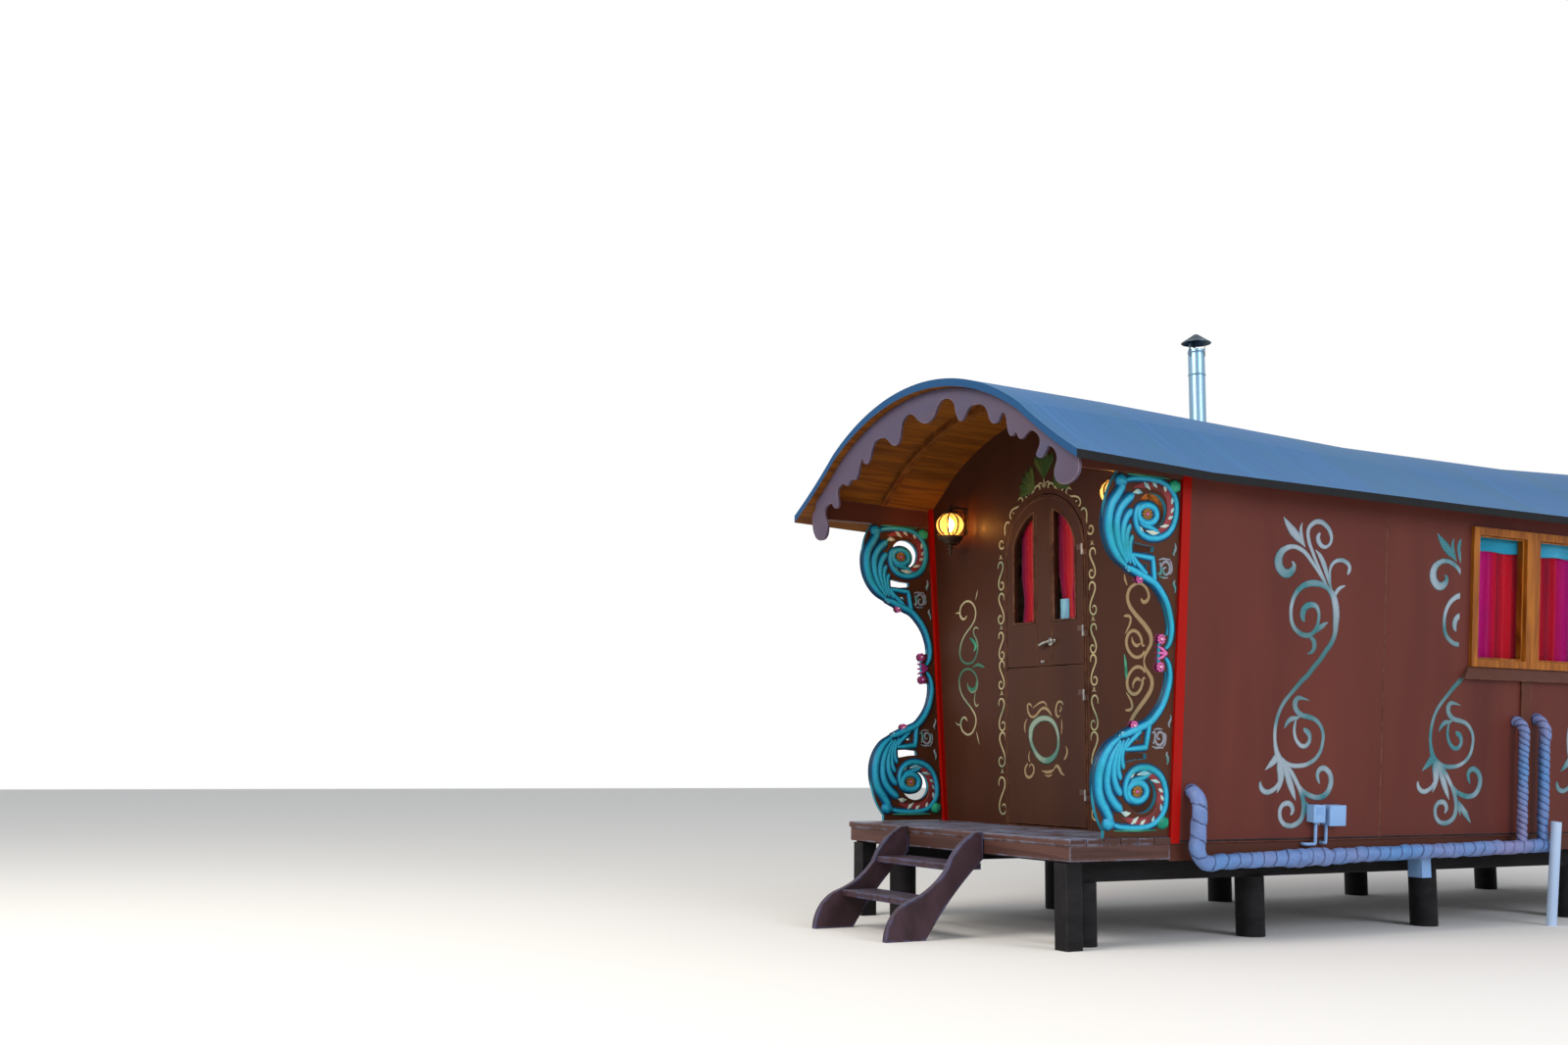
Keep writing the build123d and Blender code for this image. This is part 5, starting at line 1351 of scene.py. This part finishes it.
# %% Cloth
def woven(name, bands, thread=700):
    """Cloth with stripes across its width. bands are (place from 0 to 1, colour)."""
    material, tree, shader = new_material(name, 0.1)
    weave_map = node(tree, "UVMap").outputs[0]
    across = node(tree, "SeparateXYZ", Vector=weave_map).outputs["X"]
    stripes = node(tree, "ValToRGB", Fac=across)
    ramp = stripes.color_ramp
    while len(ramp.elements) < len(bands):
        ramp.elements.new(0.5)
    for element, (spot, code) in zip(ramp.elements, bands):
        element.position = spot
        element.color = colour(code)
    threads = node(tree, "Mapping", Scale=(thread, thread * 0.08, 1), Vector=weave_map).outputs[0]
    slub = noisy(tree, Scale=1.0, Detail=3.0, Vector=threads)
    grey = mapped(tree, slub, From_Min=0.3, From_Max=0.7, To_Min=0.45, To_Max=1.25)
    shade = node(tree, "Mix", data_type="RGBA", blend_type="MULTIPLY")
    shade.inputs[0].default_value = 0.55
    tree.links.new(stripes.outputs[0], shade.inputs[6])
    tree.links.new(grey, shade.inputs[7])
    surface(tree, shader, shade.outputs[2], slub, 0.65, 0.95, 0.3)
    fill_in(tree, shader, Sheen_Weight=0.04)
    return material


MAGENTA, CRIMSON, WINE = "b4006a", "c00020", "860526"
# Each curtain darkens towards its edges, most where the two meet behind the mullion (3c0a14):
# painted shade beside the frame and the mullion.
curtain_one = woven("curtain_one", (
    (0.0, "5a0a3c"), (0.08, "84085c"), (0.24, MAGENTA), (0.44, "b00058"), (0.5, CRIMSON),
    (0.58, WINE), (0.66, "c80a22"), (0.86, "b4001c"), (0.94, WINE), (1.0, "3c0a14")))
curtain_two = woven("curtain_two", (
    (0.0, "3c0a14"), (0.07, WINE), (0.14, CRIMSON), (0.36, "c80a22"), (0.46, WINE),
    (0.62, CRIMSON), (0.7, "b00058"), (0.82, MAGENTA), (0.93, "84085c"), (1.0, "5a0a3c")))
# The pale band 4aaccc across the blind is a painted highlight of its sheen.
blind_cloth = woven("blind_cloth", (
    (0.0, "147c98"), (0.3, "2b96b4"), (0.55, "1a86a4"), (0.8, "4aaccc"), (1.0, "177a94")), 400)
door_cloth = woven("door_cloth", (
    (0.0, "6a0838"), (0.25, "98082c"), (0.5, "b4141c"), (0.7, "bc3430"), (0.85, "980838"),
    (1.0, "6c0844")), 500)
pale_cloth = woven("pale_cloth", (
    (0.0, "6c9cb4"), (0.4, "98c4d0"), (0.7, "84acc8"), (1.0, "60909c")), 300)
cloths = (curtain_one, curtain_two, blind_cloth, door_cloth, pale_cloth)
print("cloths:", [cloth.name for cloth in cloths])

# %% A hung piece of cloth
CLOTH_THICKNESS = 0.0008


def hung(name, ends, top, bottom, folds, depth, seed, gather=2.6, columns=110, rows=26):
    """Gathered cloth in the plane of its rail, in millimetres. ends are its left and right edge.
    Returns it and its cut width."""
    left, right = ends
    height = bottom - top
    deselect()
    bpy.ops.mesh.primitive_grid_add(x_subdivisions=columns, y_subdivisions=rows, size=1)
    cloth = bpy.context.object
    cloth.name = cloth.data.name = name
    for point in cloth.data.vertices:
        across, down = point.co.x + 0.5, 0.5 - point.co.y
        # the folds wander sideways, and the wide ones gain on the narrow ones towards the hem
        sway = noise.noise(Vector((across * 3, down * 1.2, seed))) * 0.05
        wide = sin(2 * pi * (folds * (across + sway) + 0.13 * seed))
        narrow = sin(2 * pi * (folds * gather * (across + 0.4 * sway) + 0.31 * seed))
        loose = min(1, down * 2.2) ** 0.7
        push = (0.35 + 0.55 * loose) * wide + (0.42 - 0.3 * loose) * narrow
        # no two folds are alike, and the hem rises and falls by up to 4 mm
        push += 0.25 * noise.noise(Vector((across * folds * 1.4, down * 2.5, seed + 7)))
        side = left + (right - left) * (across + 0.24 * sway)
        hem = 4 * sin(across * 21 + seed) * down**3
        point.co = (side / 1000, (top + height * down + hem) / 1000, push * depth / 1000)
    start = (rows // 2) * (columns + 1)
    row = [point.co for point in cloth.data.vertices[start : start + columns + 1]]
    cut_width = sum((b - a).length for a, b in zip(row, row[1:]))
    modifier = cloth.modifiers.new("thickness", "SOLIDIFY")
    modifier.thickness = CLOTH_THICKNESS
    modifier.offset = 0
    bpy.ops.object.modifier_apply(modifier="thickness")
    bpy.ops.object.shade_smooth()
    return cloth, round(cut_width, 2)


# %% Curtains and blinds of the windows
RAIL_BOTTOM, CURTAIN_END, BLIND_END, HALF_HOLE = 1791, 940, 1672, 510
GAP, HALF_BLIND, CURTAIN_LEVEL, BLIND_LEVEL = 3, 520, -68, -54
for side, place in windows:
    for number, material in enumerate((curtain_one, curtain_two)):
        ends = (GAP, HALF_HOLE - GAP) if number else (GAP - HALF_HOLE, -GAP)
        name, seed = f"curtain_{side}_{number + 1}", number * 3 + len(side)
        cloth, cut = hung(name, ends, RAIL_BOTTOM, CURTAIN_END, 7, 10, seed)
        put(cloth, place @ out_by(CURTAIN_LEVEL), "wagon", material, "curtains")
    ends, seed = (-HALF_BLIND, HALF_BLIND), 5 + len(side)
    blind, cut = hung(f"blind_{side}", ends, RAIL_BOTTOM, BLIND_END, 2, 1.3, seed, 9, 120, 14)
    for point in blind.data.vertices:
        point.co.z += 0.0014 * sin(point.co.y * 2 * pi / 0.04 + 2 * point.co.x)
    put(blind, place @ out_by(BLIND_LEVEL), "wagon", blind_cloth, "blinds")
print("cut width of the last cloth:", cut, "m")

# %% Curtains behind the panes of the door
LEAF_BACK = FRONT_WALL @ out_by(-36)
PANE_FOOT, PANE_HEIGHT, TIE_HEIGHT, TIE_REACH, TIE_PULL = 1.2, 0.635, 0.22, 0.25, 0.35
for name, left, right, top, material, depth, level, seed, slot in (
    ("door_curtain_left", -262, -120, 1835, door_cloth, 5, 0, 2, "red_cloth"),
    ("door_curtain_right", 92, 268, 1835, door_cloth, 5, 0, 9, "red_cloth"),
    ("door_curtain_lining", 108, 190, 1330, pale_cloth, 2, 7, 4, "teal_cloth"),
):
    foot = PANE_FOOT * 1000
    cloth, cut = hung(name, (left, right), top, foot, 4, depth, seed, 2.2, 50, 30)
    if material is door_cloth:
        for point in cloth.data.vertices:
            height, middle = (point.co.y - PANE_FOOT) / PANE_HEIGHT, (left + right) / 2000
            waist = 1 - TIE_PULL * max(0, 1 - abs(height - TIE_HEIGHT) / TIE_REACH)
            point.co.x = middle + (point.co.x - middle) * waist
    put(cloth, LEAF_BACK @ out_by(level), "upper_leaf", material, "door_curtain")
    drop = round((top - foot) / 1000, 3)

# %% [markdown]
# ## The lanterns
#
# A lantern is a ribbed glass globe in an iron cage: a cap and a hook above, a cup and a drop below,
# an arm to the wall, and a rib in each groove of the glass. Turned parts are a profile taken round
# by a Screw modifier. The lobes of the globe are made by moving the points of a sphere in and out
# with the angle. A small flame-shaped bulb inside lights the glass from within.

# %% Turned parts and bars
def turned(name, profile, steps=24):
    """A profile of (radius, height) in mm, turned round the upright axis. A point that is marked
    SHARP is a corner."""
    piece = new_curve(name, resolution_u=4)
    kinds = [point[2] if len(point) > 2 else SMOOTH for point in profile]
    add_line(piece, [(point[0], 0, point[1]) for point in profile], kinds)
    bpy.ops.object.convert(target="MESH")
    screw = piece.modifiers.new("turn", "SCREW")
    screw.steps = screw.render_steps = steps
    screw.use_merge_vertices = True
    screw.merge_threshold = 0.0001
    bpy.ops.object.modifier_apply(modifier="turn")
    close_up(45)
    return piece


def bar(name, points, radius, smoothness=8, sides=2):
    """A round bar through points in millimetres; a point may carry its own radius."""
    piece = new_curve(name, bevel_depth=0.001, bevel_resolution=sides, resolution_u=smoothness,
                      use_fill_caps=True)
    radii = [point[3] if len(point) > 3 else radius for point in points]
    add_line(piece, [point[:3] for point in points], radii=radii)
    bpy.ops.object.convert(target="MESH")
    bpy.ops.object.shade_smooth()
    return piece


def joined(pieces, name):
    """Several meshes as one piece."""
    deselect()
    for piece in pieces:
        piece.select_set(True)
    bpy.context.view_layer.objects.active = pieces[0]
    bpy.ops.object.join()
    whole = bpy.context.object
    whole.name = whole.data.name = name
    return whole


# %% Iron, amber glass and the light of the bulb
black_iron = metal("black_iron", "2c2118", "46331f", 0.45, (4, 4, 4), 0.6)
amber_glass, tree, shader = new_material("amber_glass")
ripple = use_group(tree, brush_marks, stretched(tree), Fineness=30)
amber = blend_colours(tree, ripple["Marks"], "ffc878", "ffe0a8", (0.3, 0.7))
glow = blend_colours(tree, ripple["Patches"], "ffa63c", "ffc468", (0.3, 0.7))
thin = mapped(tree, ripple["Marks"], From_Min=0.3, From_Max=0.7, To_Min=0.28, To_Max=0.4)
surface(tree, shader, amber, ripple["Marks"], 0.15, 0.35)
fill_in(tree, shader, Emission_Color=glow, Emission_Strength=1.5, Alpha=thin)
fill_in(tree, shader, Transmission_Weight=0.75, IOR=1.2)

bulb_light, tree, shader = new_material("bulb_light")
warm = use_group(tree, brush_marks, stretched(tree), Fineness=20)["Marks"]
glow = blend_colours(tree, warm, "ffb458", "ffa440")
skin = blend_colours(tree, warm, "fff4dc", "ffe8bc")
fill_in(tree, shader, Emission_Color=glow, Emission_Strength=120, Base_Color=skin)
print("finishes of the lanterns:", black_iron.name, amber_glass.name, bulb_light.name)

# %% Globe and bulb
GLOBE_RADIUS, GLOBE_HALF, GLOBE_MOUTH, LOBES = 90, 68, 44, 8
lid = sqrt(1 - (GLOBE_MOUTH / GLOBE_RADIUS) ** 2)
deselect()
bpy.ops.mesh.primitive_uv_sphere_add(segments=64, ring_count=32, radius=1)
globe = bpy.context.object
for up in (1, -1):
    with editing():
        bpy.ops.mesh.bisect(plane_co=(0, 0, up * lid), plane_no=(0, 0, up), clear_outer=True)
for point in globe.data.vertices:
    bulge = 0.93 + 0.07 * abs(sin(LOBES / 2 * atan2(point.co.y, point.co.x))) ** 0.6
    size = GLOBE_RADIUS / 1000 * bulge
    point.co = (point.co.x * size, point.co.y * size, point.co.z / lid * GLOBE_HALF / 1000)
wall = globe.modifiers.new("wall", "SOLIDIFY")
wall.thickness = 0.0025
bpy.ops.object.modifier_apply(modifier="wall")
bpy.ops.object.shade_smooth()
bulb = turned("bulb", (
    (0, -34, SHARP), (11, -32), (13, -20), (22, 0), (17, 20), (4, 38), (0, 42, SHARP)))
print("globe:", len(globe.data.polygons), "faces, bulb:", len(bulb.data.polygons), "faces")

# %% Ironwork
PRONG = ((66, -74), (80, -66), (83, -50))
iron = [
    turned("cap", (
        (0, 68.5, SHARP), (50, 68.5, SHARP), (56, 74), (42, 84), (18, 94), (9, 104), (13, 112),
        (7, 118), (0, 122, SHARP)), 40),
    turned("cup", (
        (0, -68.5, SHARP), (64, -68.5, SHARP), (76, -73), (70, -88), (50, -103), (36, -116),
        (14, -127), (9, -137), (16, -149), (8, -160), (13, -172), (7, -184), (3, -196),
        (0, -204, SHARP)), 40),
]
for number in range(LOBES):
    angle = 2 * pi * number / LOBES
    arc = []
    for turn in range(-72, 73, 18):
        reach = GLOBE_RADIUS * 0.95 * cos(radians(turn)) + 2
        arc.append((reach * cos(angle), reach * sin(angle), GLOBE_HALF * sin(radians(turn)) * 1.04))
    iron.append(bar(f"rib_{number}", arc, 6, 3, 1))
    foot = 2 * pi * (number + 0.5) / LOBES
    prong = [(reach * cos(foot), reach * sin(foot), up) for reach, up in PRONG]
    iron.append(bar(f"prong_{number}", prong, 2.6, 3, 1))
iron.append(bar("hook", ((0, 0, 116), (0, 0, 124), (0, 10, 130), (0, 22, 124)), 3))
cage = joined(iron, "lantern_cage")


def wall_arm(name):
    """The arm, its brace, its scrolls and its plate on the wall."""
    parts = [bar(*shape) for shape in (
        ("arm", ((0, 20, 112), (0, 55, 116), (0, 100, 112), (0, 124, 104)), 5.5),
        ("brace", ((0, 124, 30), (0, 96, 46), (0, 84, 76), (0, 100, 96), (0, 112, 84),
                   (0, 104, 74)), 4),
        ("scroll", ((0, 124, -20), (0, 100, -60), (0, 66, -104), (0, 30, -124), (0, 12, -116),
                    (0, 18, -104)), 4.5),
        ("curl", ((0, 110, -44), (0, 96, -30), (0, 100, -16), (0, 112, -20)), 3),
    )]
    plate = bead("plate", 40, 170, 12, 5)
    rose = turned("rose", ((0, 0, SHARP), (13, 0, SHARP), (16, 2), (12, 7), (0, 9, SHARP)))
    for piece, up in ((plate, 0.03), (rose, 0.104)):
        piece.data.transform(place_from((1, 0, 0), (0, 0, 1), (0, -1, 0), (0, 0.1245, up)))
    return joined(parts + [plate, rose], name)


# %% The two lanterns
for hand, side in SIDES:
    centre = Matrix.Translation((hand * 0.8, FRONT - 0.125, DECK + 1.86))
    for source, name, material, slot, replaced in (
        (globe, "lantern_globe", amber_glass, "lantern_glass", "lantern_glass"),
        (bulb, "lantern_bulb", bulb_light, "lantern_glass", None),
        (cage, "lantern_cage", black_iron, "black_iron", "lantern_iron"),
    ):
        put(copy_of(source, f"{name}_{side}"), centre, "wagon", material, replaced)
    put(wall_arm(f"lantern_arm_{side}"), centre, "wagon", black_iron)
for pattern in (globe, bulb, cage):
    bpy.data.objects.remove(pattern)

# %% [markdown]
# ## The lagged pipes
#
# The pipes along the wall are wrapped in foam and tape, bound with string. They are lumpy, creased,
# and thicker where two layers meet. A curve with rounded corners becomes a tube with close rings,
# and each ring is then made wider or narrower: by noise for the lumps, and by a groove that winds
# round the tube for the string. How deep a point lies in the groove or in a crease is kept as an
# attribute, so the finish can darken the string's line, and the creases as painted shade.

# %% The middle line of a pipe
def bent(corners, bend):
    """A line through corners that are rounded by bend, with a spot at least every 90 mm."""
    spots = [Vector(corner) for corner in corners]
    route = [(spots[0], None)]
    for before, corner, after in zip(spots, spots[1:], spots[2:]):
        arrive, leave = (corner - before).normalized(), (after - corner).normalized()
        route += [(corner - arrive * bend, corner), (corner + leave * bend, corner)]
    route.append((spots[-1], None))
    path = []
    for (start, corner), (end, next_corner) in zip(route, route[1:]):
        path.append(start)
        if not (corner and corner is next_corner):
            steps = int((end - start).length // 90)
            path += [start.lerp(end, (step + 1) / (steps + 1)) for step in range(steps)]
    return path + [spots[-1]]


# %% A wrapped pipe
def wrapped(name, corners, radius, bend, pitch, groove, lumps, seed, strands=1, sleeves=()):
    """A lumpy tube through corners in millimetres on the wall. sleeves are thicker lengths."""
    piece = new_curve(name, bevel_depth=radius / 1000, bevel_resolution=6, resolution_u=10)
    add_line(piece, bent(corners, bend))
    bpy.ops.object.convert(target="MESH")
    mesh = piece.data
    sides = len(mesh.vertices) - sum(len(face.vertices) == 4 for face in mesh.polygons)
    depth = mesh.attributes.new("groove", "FLOAT", "POINT")
    travelled, last = 0, None
    for first in range(0, len(mesh.vertices), sides):
        circle = mesh.vertices[first : first + sides]
        centre = sum((corner.co for corner in circle), Vector()) / sides
        travelled += (centre - last).length * 1000 if last else 0
        last = centre
        for number, corner in enumerate(circle):
            angle = 2 * pi * number / sides
            turn = travelled / pitch + strands * angle / (2 * pi)
            turn += 0.12 * noise.noise(Vector((travelled / 60, seed, 0)))
            away = abs(turn - round(turn)) * pitch
            string = groove * max(0, 1 - (away / 7) ** 2)
            level, out = cos(angle), sin(angle)
            swell = noise.noise(Vector((travelled / 70, level * 1.2, out * 1.2 + seed)))
            crease = abs(noise.noise(Vector((travelled / 16, level * 2.5 + seed, out * 2.5))))
            size = lumps * swell - 0.35 * lumps * crease - string
            for start, end, extra in sleeves:
                size += extra * max(0, min(1, (travelled - start) / 8, (end - travelled) / 8))
            corner.co = centre + (corner.co - centre) * (1 + size / radius)
            # The attribute marks the string's groove, and the creases, which the finish darkens as
            # painted shade.
            depth.data[corner.index].value = min(1, string / max(groove, 0.1) * 0.9 + crease * 0.5)
    with editing():
        bpy.ops.mesh.select_mode(type="EDGE")
        bpy.ops.mesh.select_all(action="DESELECT")
        bpy.ops.mesh.select_non_manifold()
        bpy.ops.mesh.fill_holes(sides=0)
    bpy.ops.object.shade_smooth()
    return piece


# %% The lagging and its three pipes
lagging, tree, shader = new_material("pipe_lagging", 0.3)
folds = node(tree, "Attribute", attribute_name="groove").outputs["Fac"]
creases = use_group(tree, brush_marks, stretched(tree), Fineness=60)
mixed = blend_colours(tree, creases["Patches"], "5088c2", "7f80ac", (0.35, 0.7))
mixed = blend_colours(tree, creases["Marks"], mixed, "56689e", (0.5, 0.9))
# The groove and the creases turn 23294e: the string's line, and painted shade in the creases.
mixed = blend_colours(tree, folds, mixed, "23294e", (0.3, 1.0))
surface(tree, shader, mixed, creases["Marks"], 0.35, 0.6, 0.5, 0.003)

STAND, RUN_UP = 72, -84
run = ((98, 240, 1), (98, 240, STAND), (98, -125, STAND), (2901, RUN_UP, STAND))
riser_one = ((2675, RUN_UP, STAND), (2675, 655, STAND), (2675, 655, 1))
riser_two = ((2865, RUN_UP, STAND), (2865, 672, STAND), (2865, 672, 1))
sleeves = ((1010, 1330, 8), (1146, 1166, -11))
for pipe in (
    wrapped("lagged_run", run, 42, 54, 88, 3.5, 9, 1, 1, sleeves),
    wrapped("lagged_riser_1", riser_one, 31, 46, 36, 5, 4, 5, 2),
    wrapped("lagged_riser_2", riser_two, 34, 50, 44, 4, 4, 9, 2),
):
    put(pipe, side_wall(1), "wagon", lagging, "lagged_pipes")

# %% [markdown]
# ## Small fittings
#
# A few things are too small for the solids: the seams of the flue, the lids of the boxes on the
# wall with their screws, the shaped latch of the door, and a bolt knob above the joint of the two
# leaves. Turned parts and bars from above make them all, so each takes a few lines.

# %% Flue seams
FLUE = Matrix.Translation((-0.45, FRONT + 1.665, DECK))
SEAM = (
    (56.1, -9, SHARP), (58, -8, SHARP), (58, -3, SHARP), (60, 0), (58, 3, SHARP), (58, 8, SHARP),
    (56.1, 9, SHARP))
seams = [
    turned(f"seam_{number}", [(point[0], point[1] + up, *point[2:]) for point in SEAM], 48)
    for number, up in enumerate((2620, 2985, 3140))
]
put(joined(seams, "flue_seams"), FLUE, "wagon", flue_steel)

# %% Box lids
SCREW = ((0, 5, SHARP), (4.5, 5, SHARP), (4.5, 6.5), (2, 8), (0, 8.2, SHARP))
OVERLAP, SCREW_INSET, RIB_INSET, FIRST_RIB, RIB_STEP = 5, 14, 18, 12, 9


def box_lid(name, wide, high, ribs):
    """A rounded plate with a screw in each corner and ribs at its head."""
    deselect()
    bpy.ops.mesh.primitive_cube_add(size=1)
    plate = bpy.context.object
    across, up = (wide + OVERLAP) / 1000, (high + OVERLAP) / 1000
    plate.data.transform(Matrix.Diagonal((across, up, 0.011, 1)))
    edges = plate.modifiers.new("edges", "BEVEL")
    edges.width, edges.segments = 0.004, 3
    bpy.ops.object.modifier_apply(modifier="edges")
    bpy.ops.object.shade_smooth_by_angle(angle=radians(40))
    parts = [plate]
    for x, y in ((-1, -1), (-1, 1), (1, -1), (1, 1)):
        head = turned("screw", SCREW, 12)
        head.data.transform(
            shift(x * (wide - SCREW_INSET) / 2, y * (high - SCREW_INSET) / 2, 0))
        parts.append(head)
    for rib in range(ribs):
        half, up = wide / 2 - RIB_INSET, high / 2 - FIRST_RIB - RIB_STEP * rib
        line = moulding("rib", ((-half, up), (half, up)), 3, 1)
        line.data.transform(out_by(5.5))
        parts.append(line)
    return joined(parts, name)


for number, (spot, wide, high, ribs) in enumerate((
    (shift(1000, 119.5, 50), 85, 93, 5),
    (shift(1130, 110, 62), 120, 110, 0),
)):
    lid = box_lid(f"box_lid_{number + 1}", wide, high, ribs)
    put(lid, side_wall(1) @ spot, "wagon", box_plastic)

# %% The latch: a rose, a lever that hangs to the left and a round turn beside it
latch_x, latch_y = sighted(LEAF_FACE, 1072, 654.5)
tip_x, tip_y = (a - b for a, b in zip(sighted(LEAF_FACE, 1063, 659), (latch_x, latch_y)))
rose = turned("rose", (
    (0, 0, SHARP), (25, 0, SHARP), (25, 3), (17, 7), (9, 9), (8, 20), (0, 22, SHARP)), 28)
turn_knob = turned("turn", (
    (0, 0, SHARP), (13, 0, SHARP), (12, 4), (5, 8), (5, 14), (12, 19), (10, 26), (0, 29, SHARP)))
turn_knob.data.transform(shift(34, 4, 0))
lever = bar("lever", (
    (0, 0, 20, 9), (tip_x * 0.35, tip_y * 0.3, 26, 10), (tip_x * 0.8, tip_y * 0.85, 26, 11),
    (tip_x, tip_y, 21, 6)), 8, 6, 3)
latch = joined([rose, turn_knob, lever], "door_latch")
put(latch, LEAF_FACE @ shift(latch_x, latch_y, 0), "upper_leaf", handle_steel,
    "door_handle")
print("latch at", round(latch_x), round(latch_y), "lever", round(tip_x), round(tip_y))

# %% Bolt knob
knob = turned("bolt_knob", (
    (0, 0, SHARP), (9, 0, SHARP), (9, 2, SHARP), (4, 3), (4, 8), (8, 12), (6, 17), (0, 19, SHARP)))
put(knob, LEAF_FACE @ shift(-10, 966, 0), "upper_leaf", hinge_steel)

# %% [markdown]
# ## Fit and finish
#
# Last, the size of the whole wagon is compared with the size of its solids.

# %% Size
size = {"cad": [list(c) for c in cad_box], "visual": [list(c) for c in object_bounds()]}
grown = [[round((b - a) * 1000, 1) for a, b in zip(x, y)] for x, y in zip(*size.values())]
print("grown by, in mm:", grown)
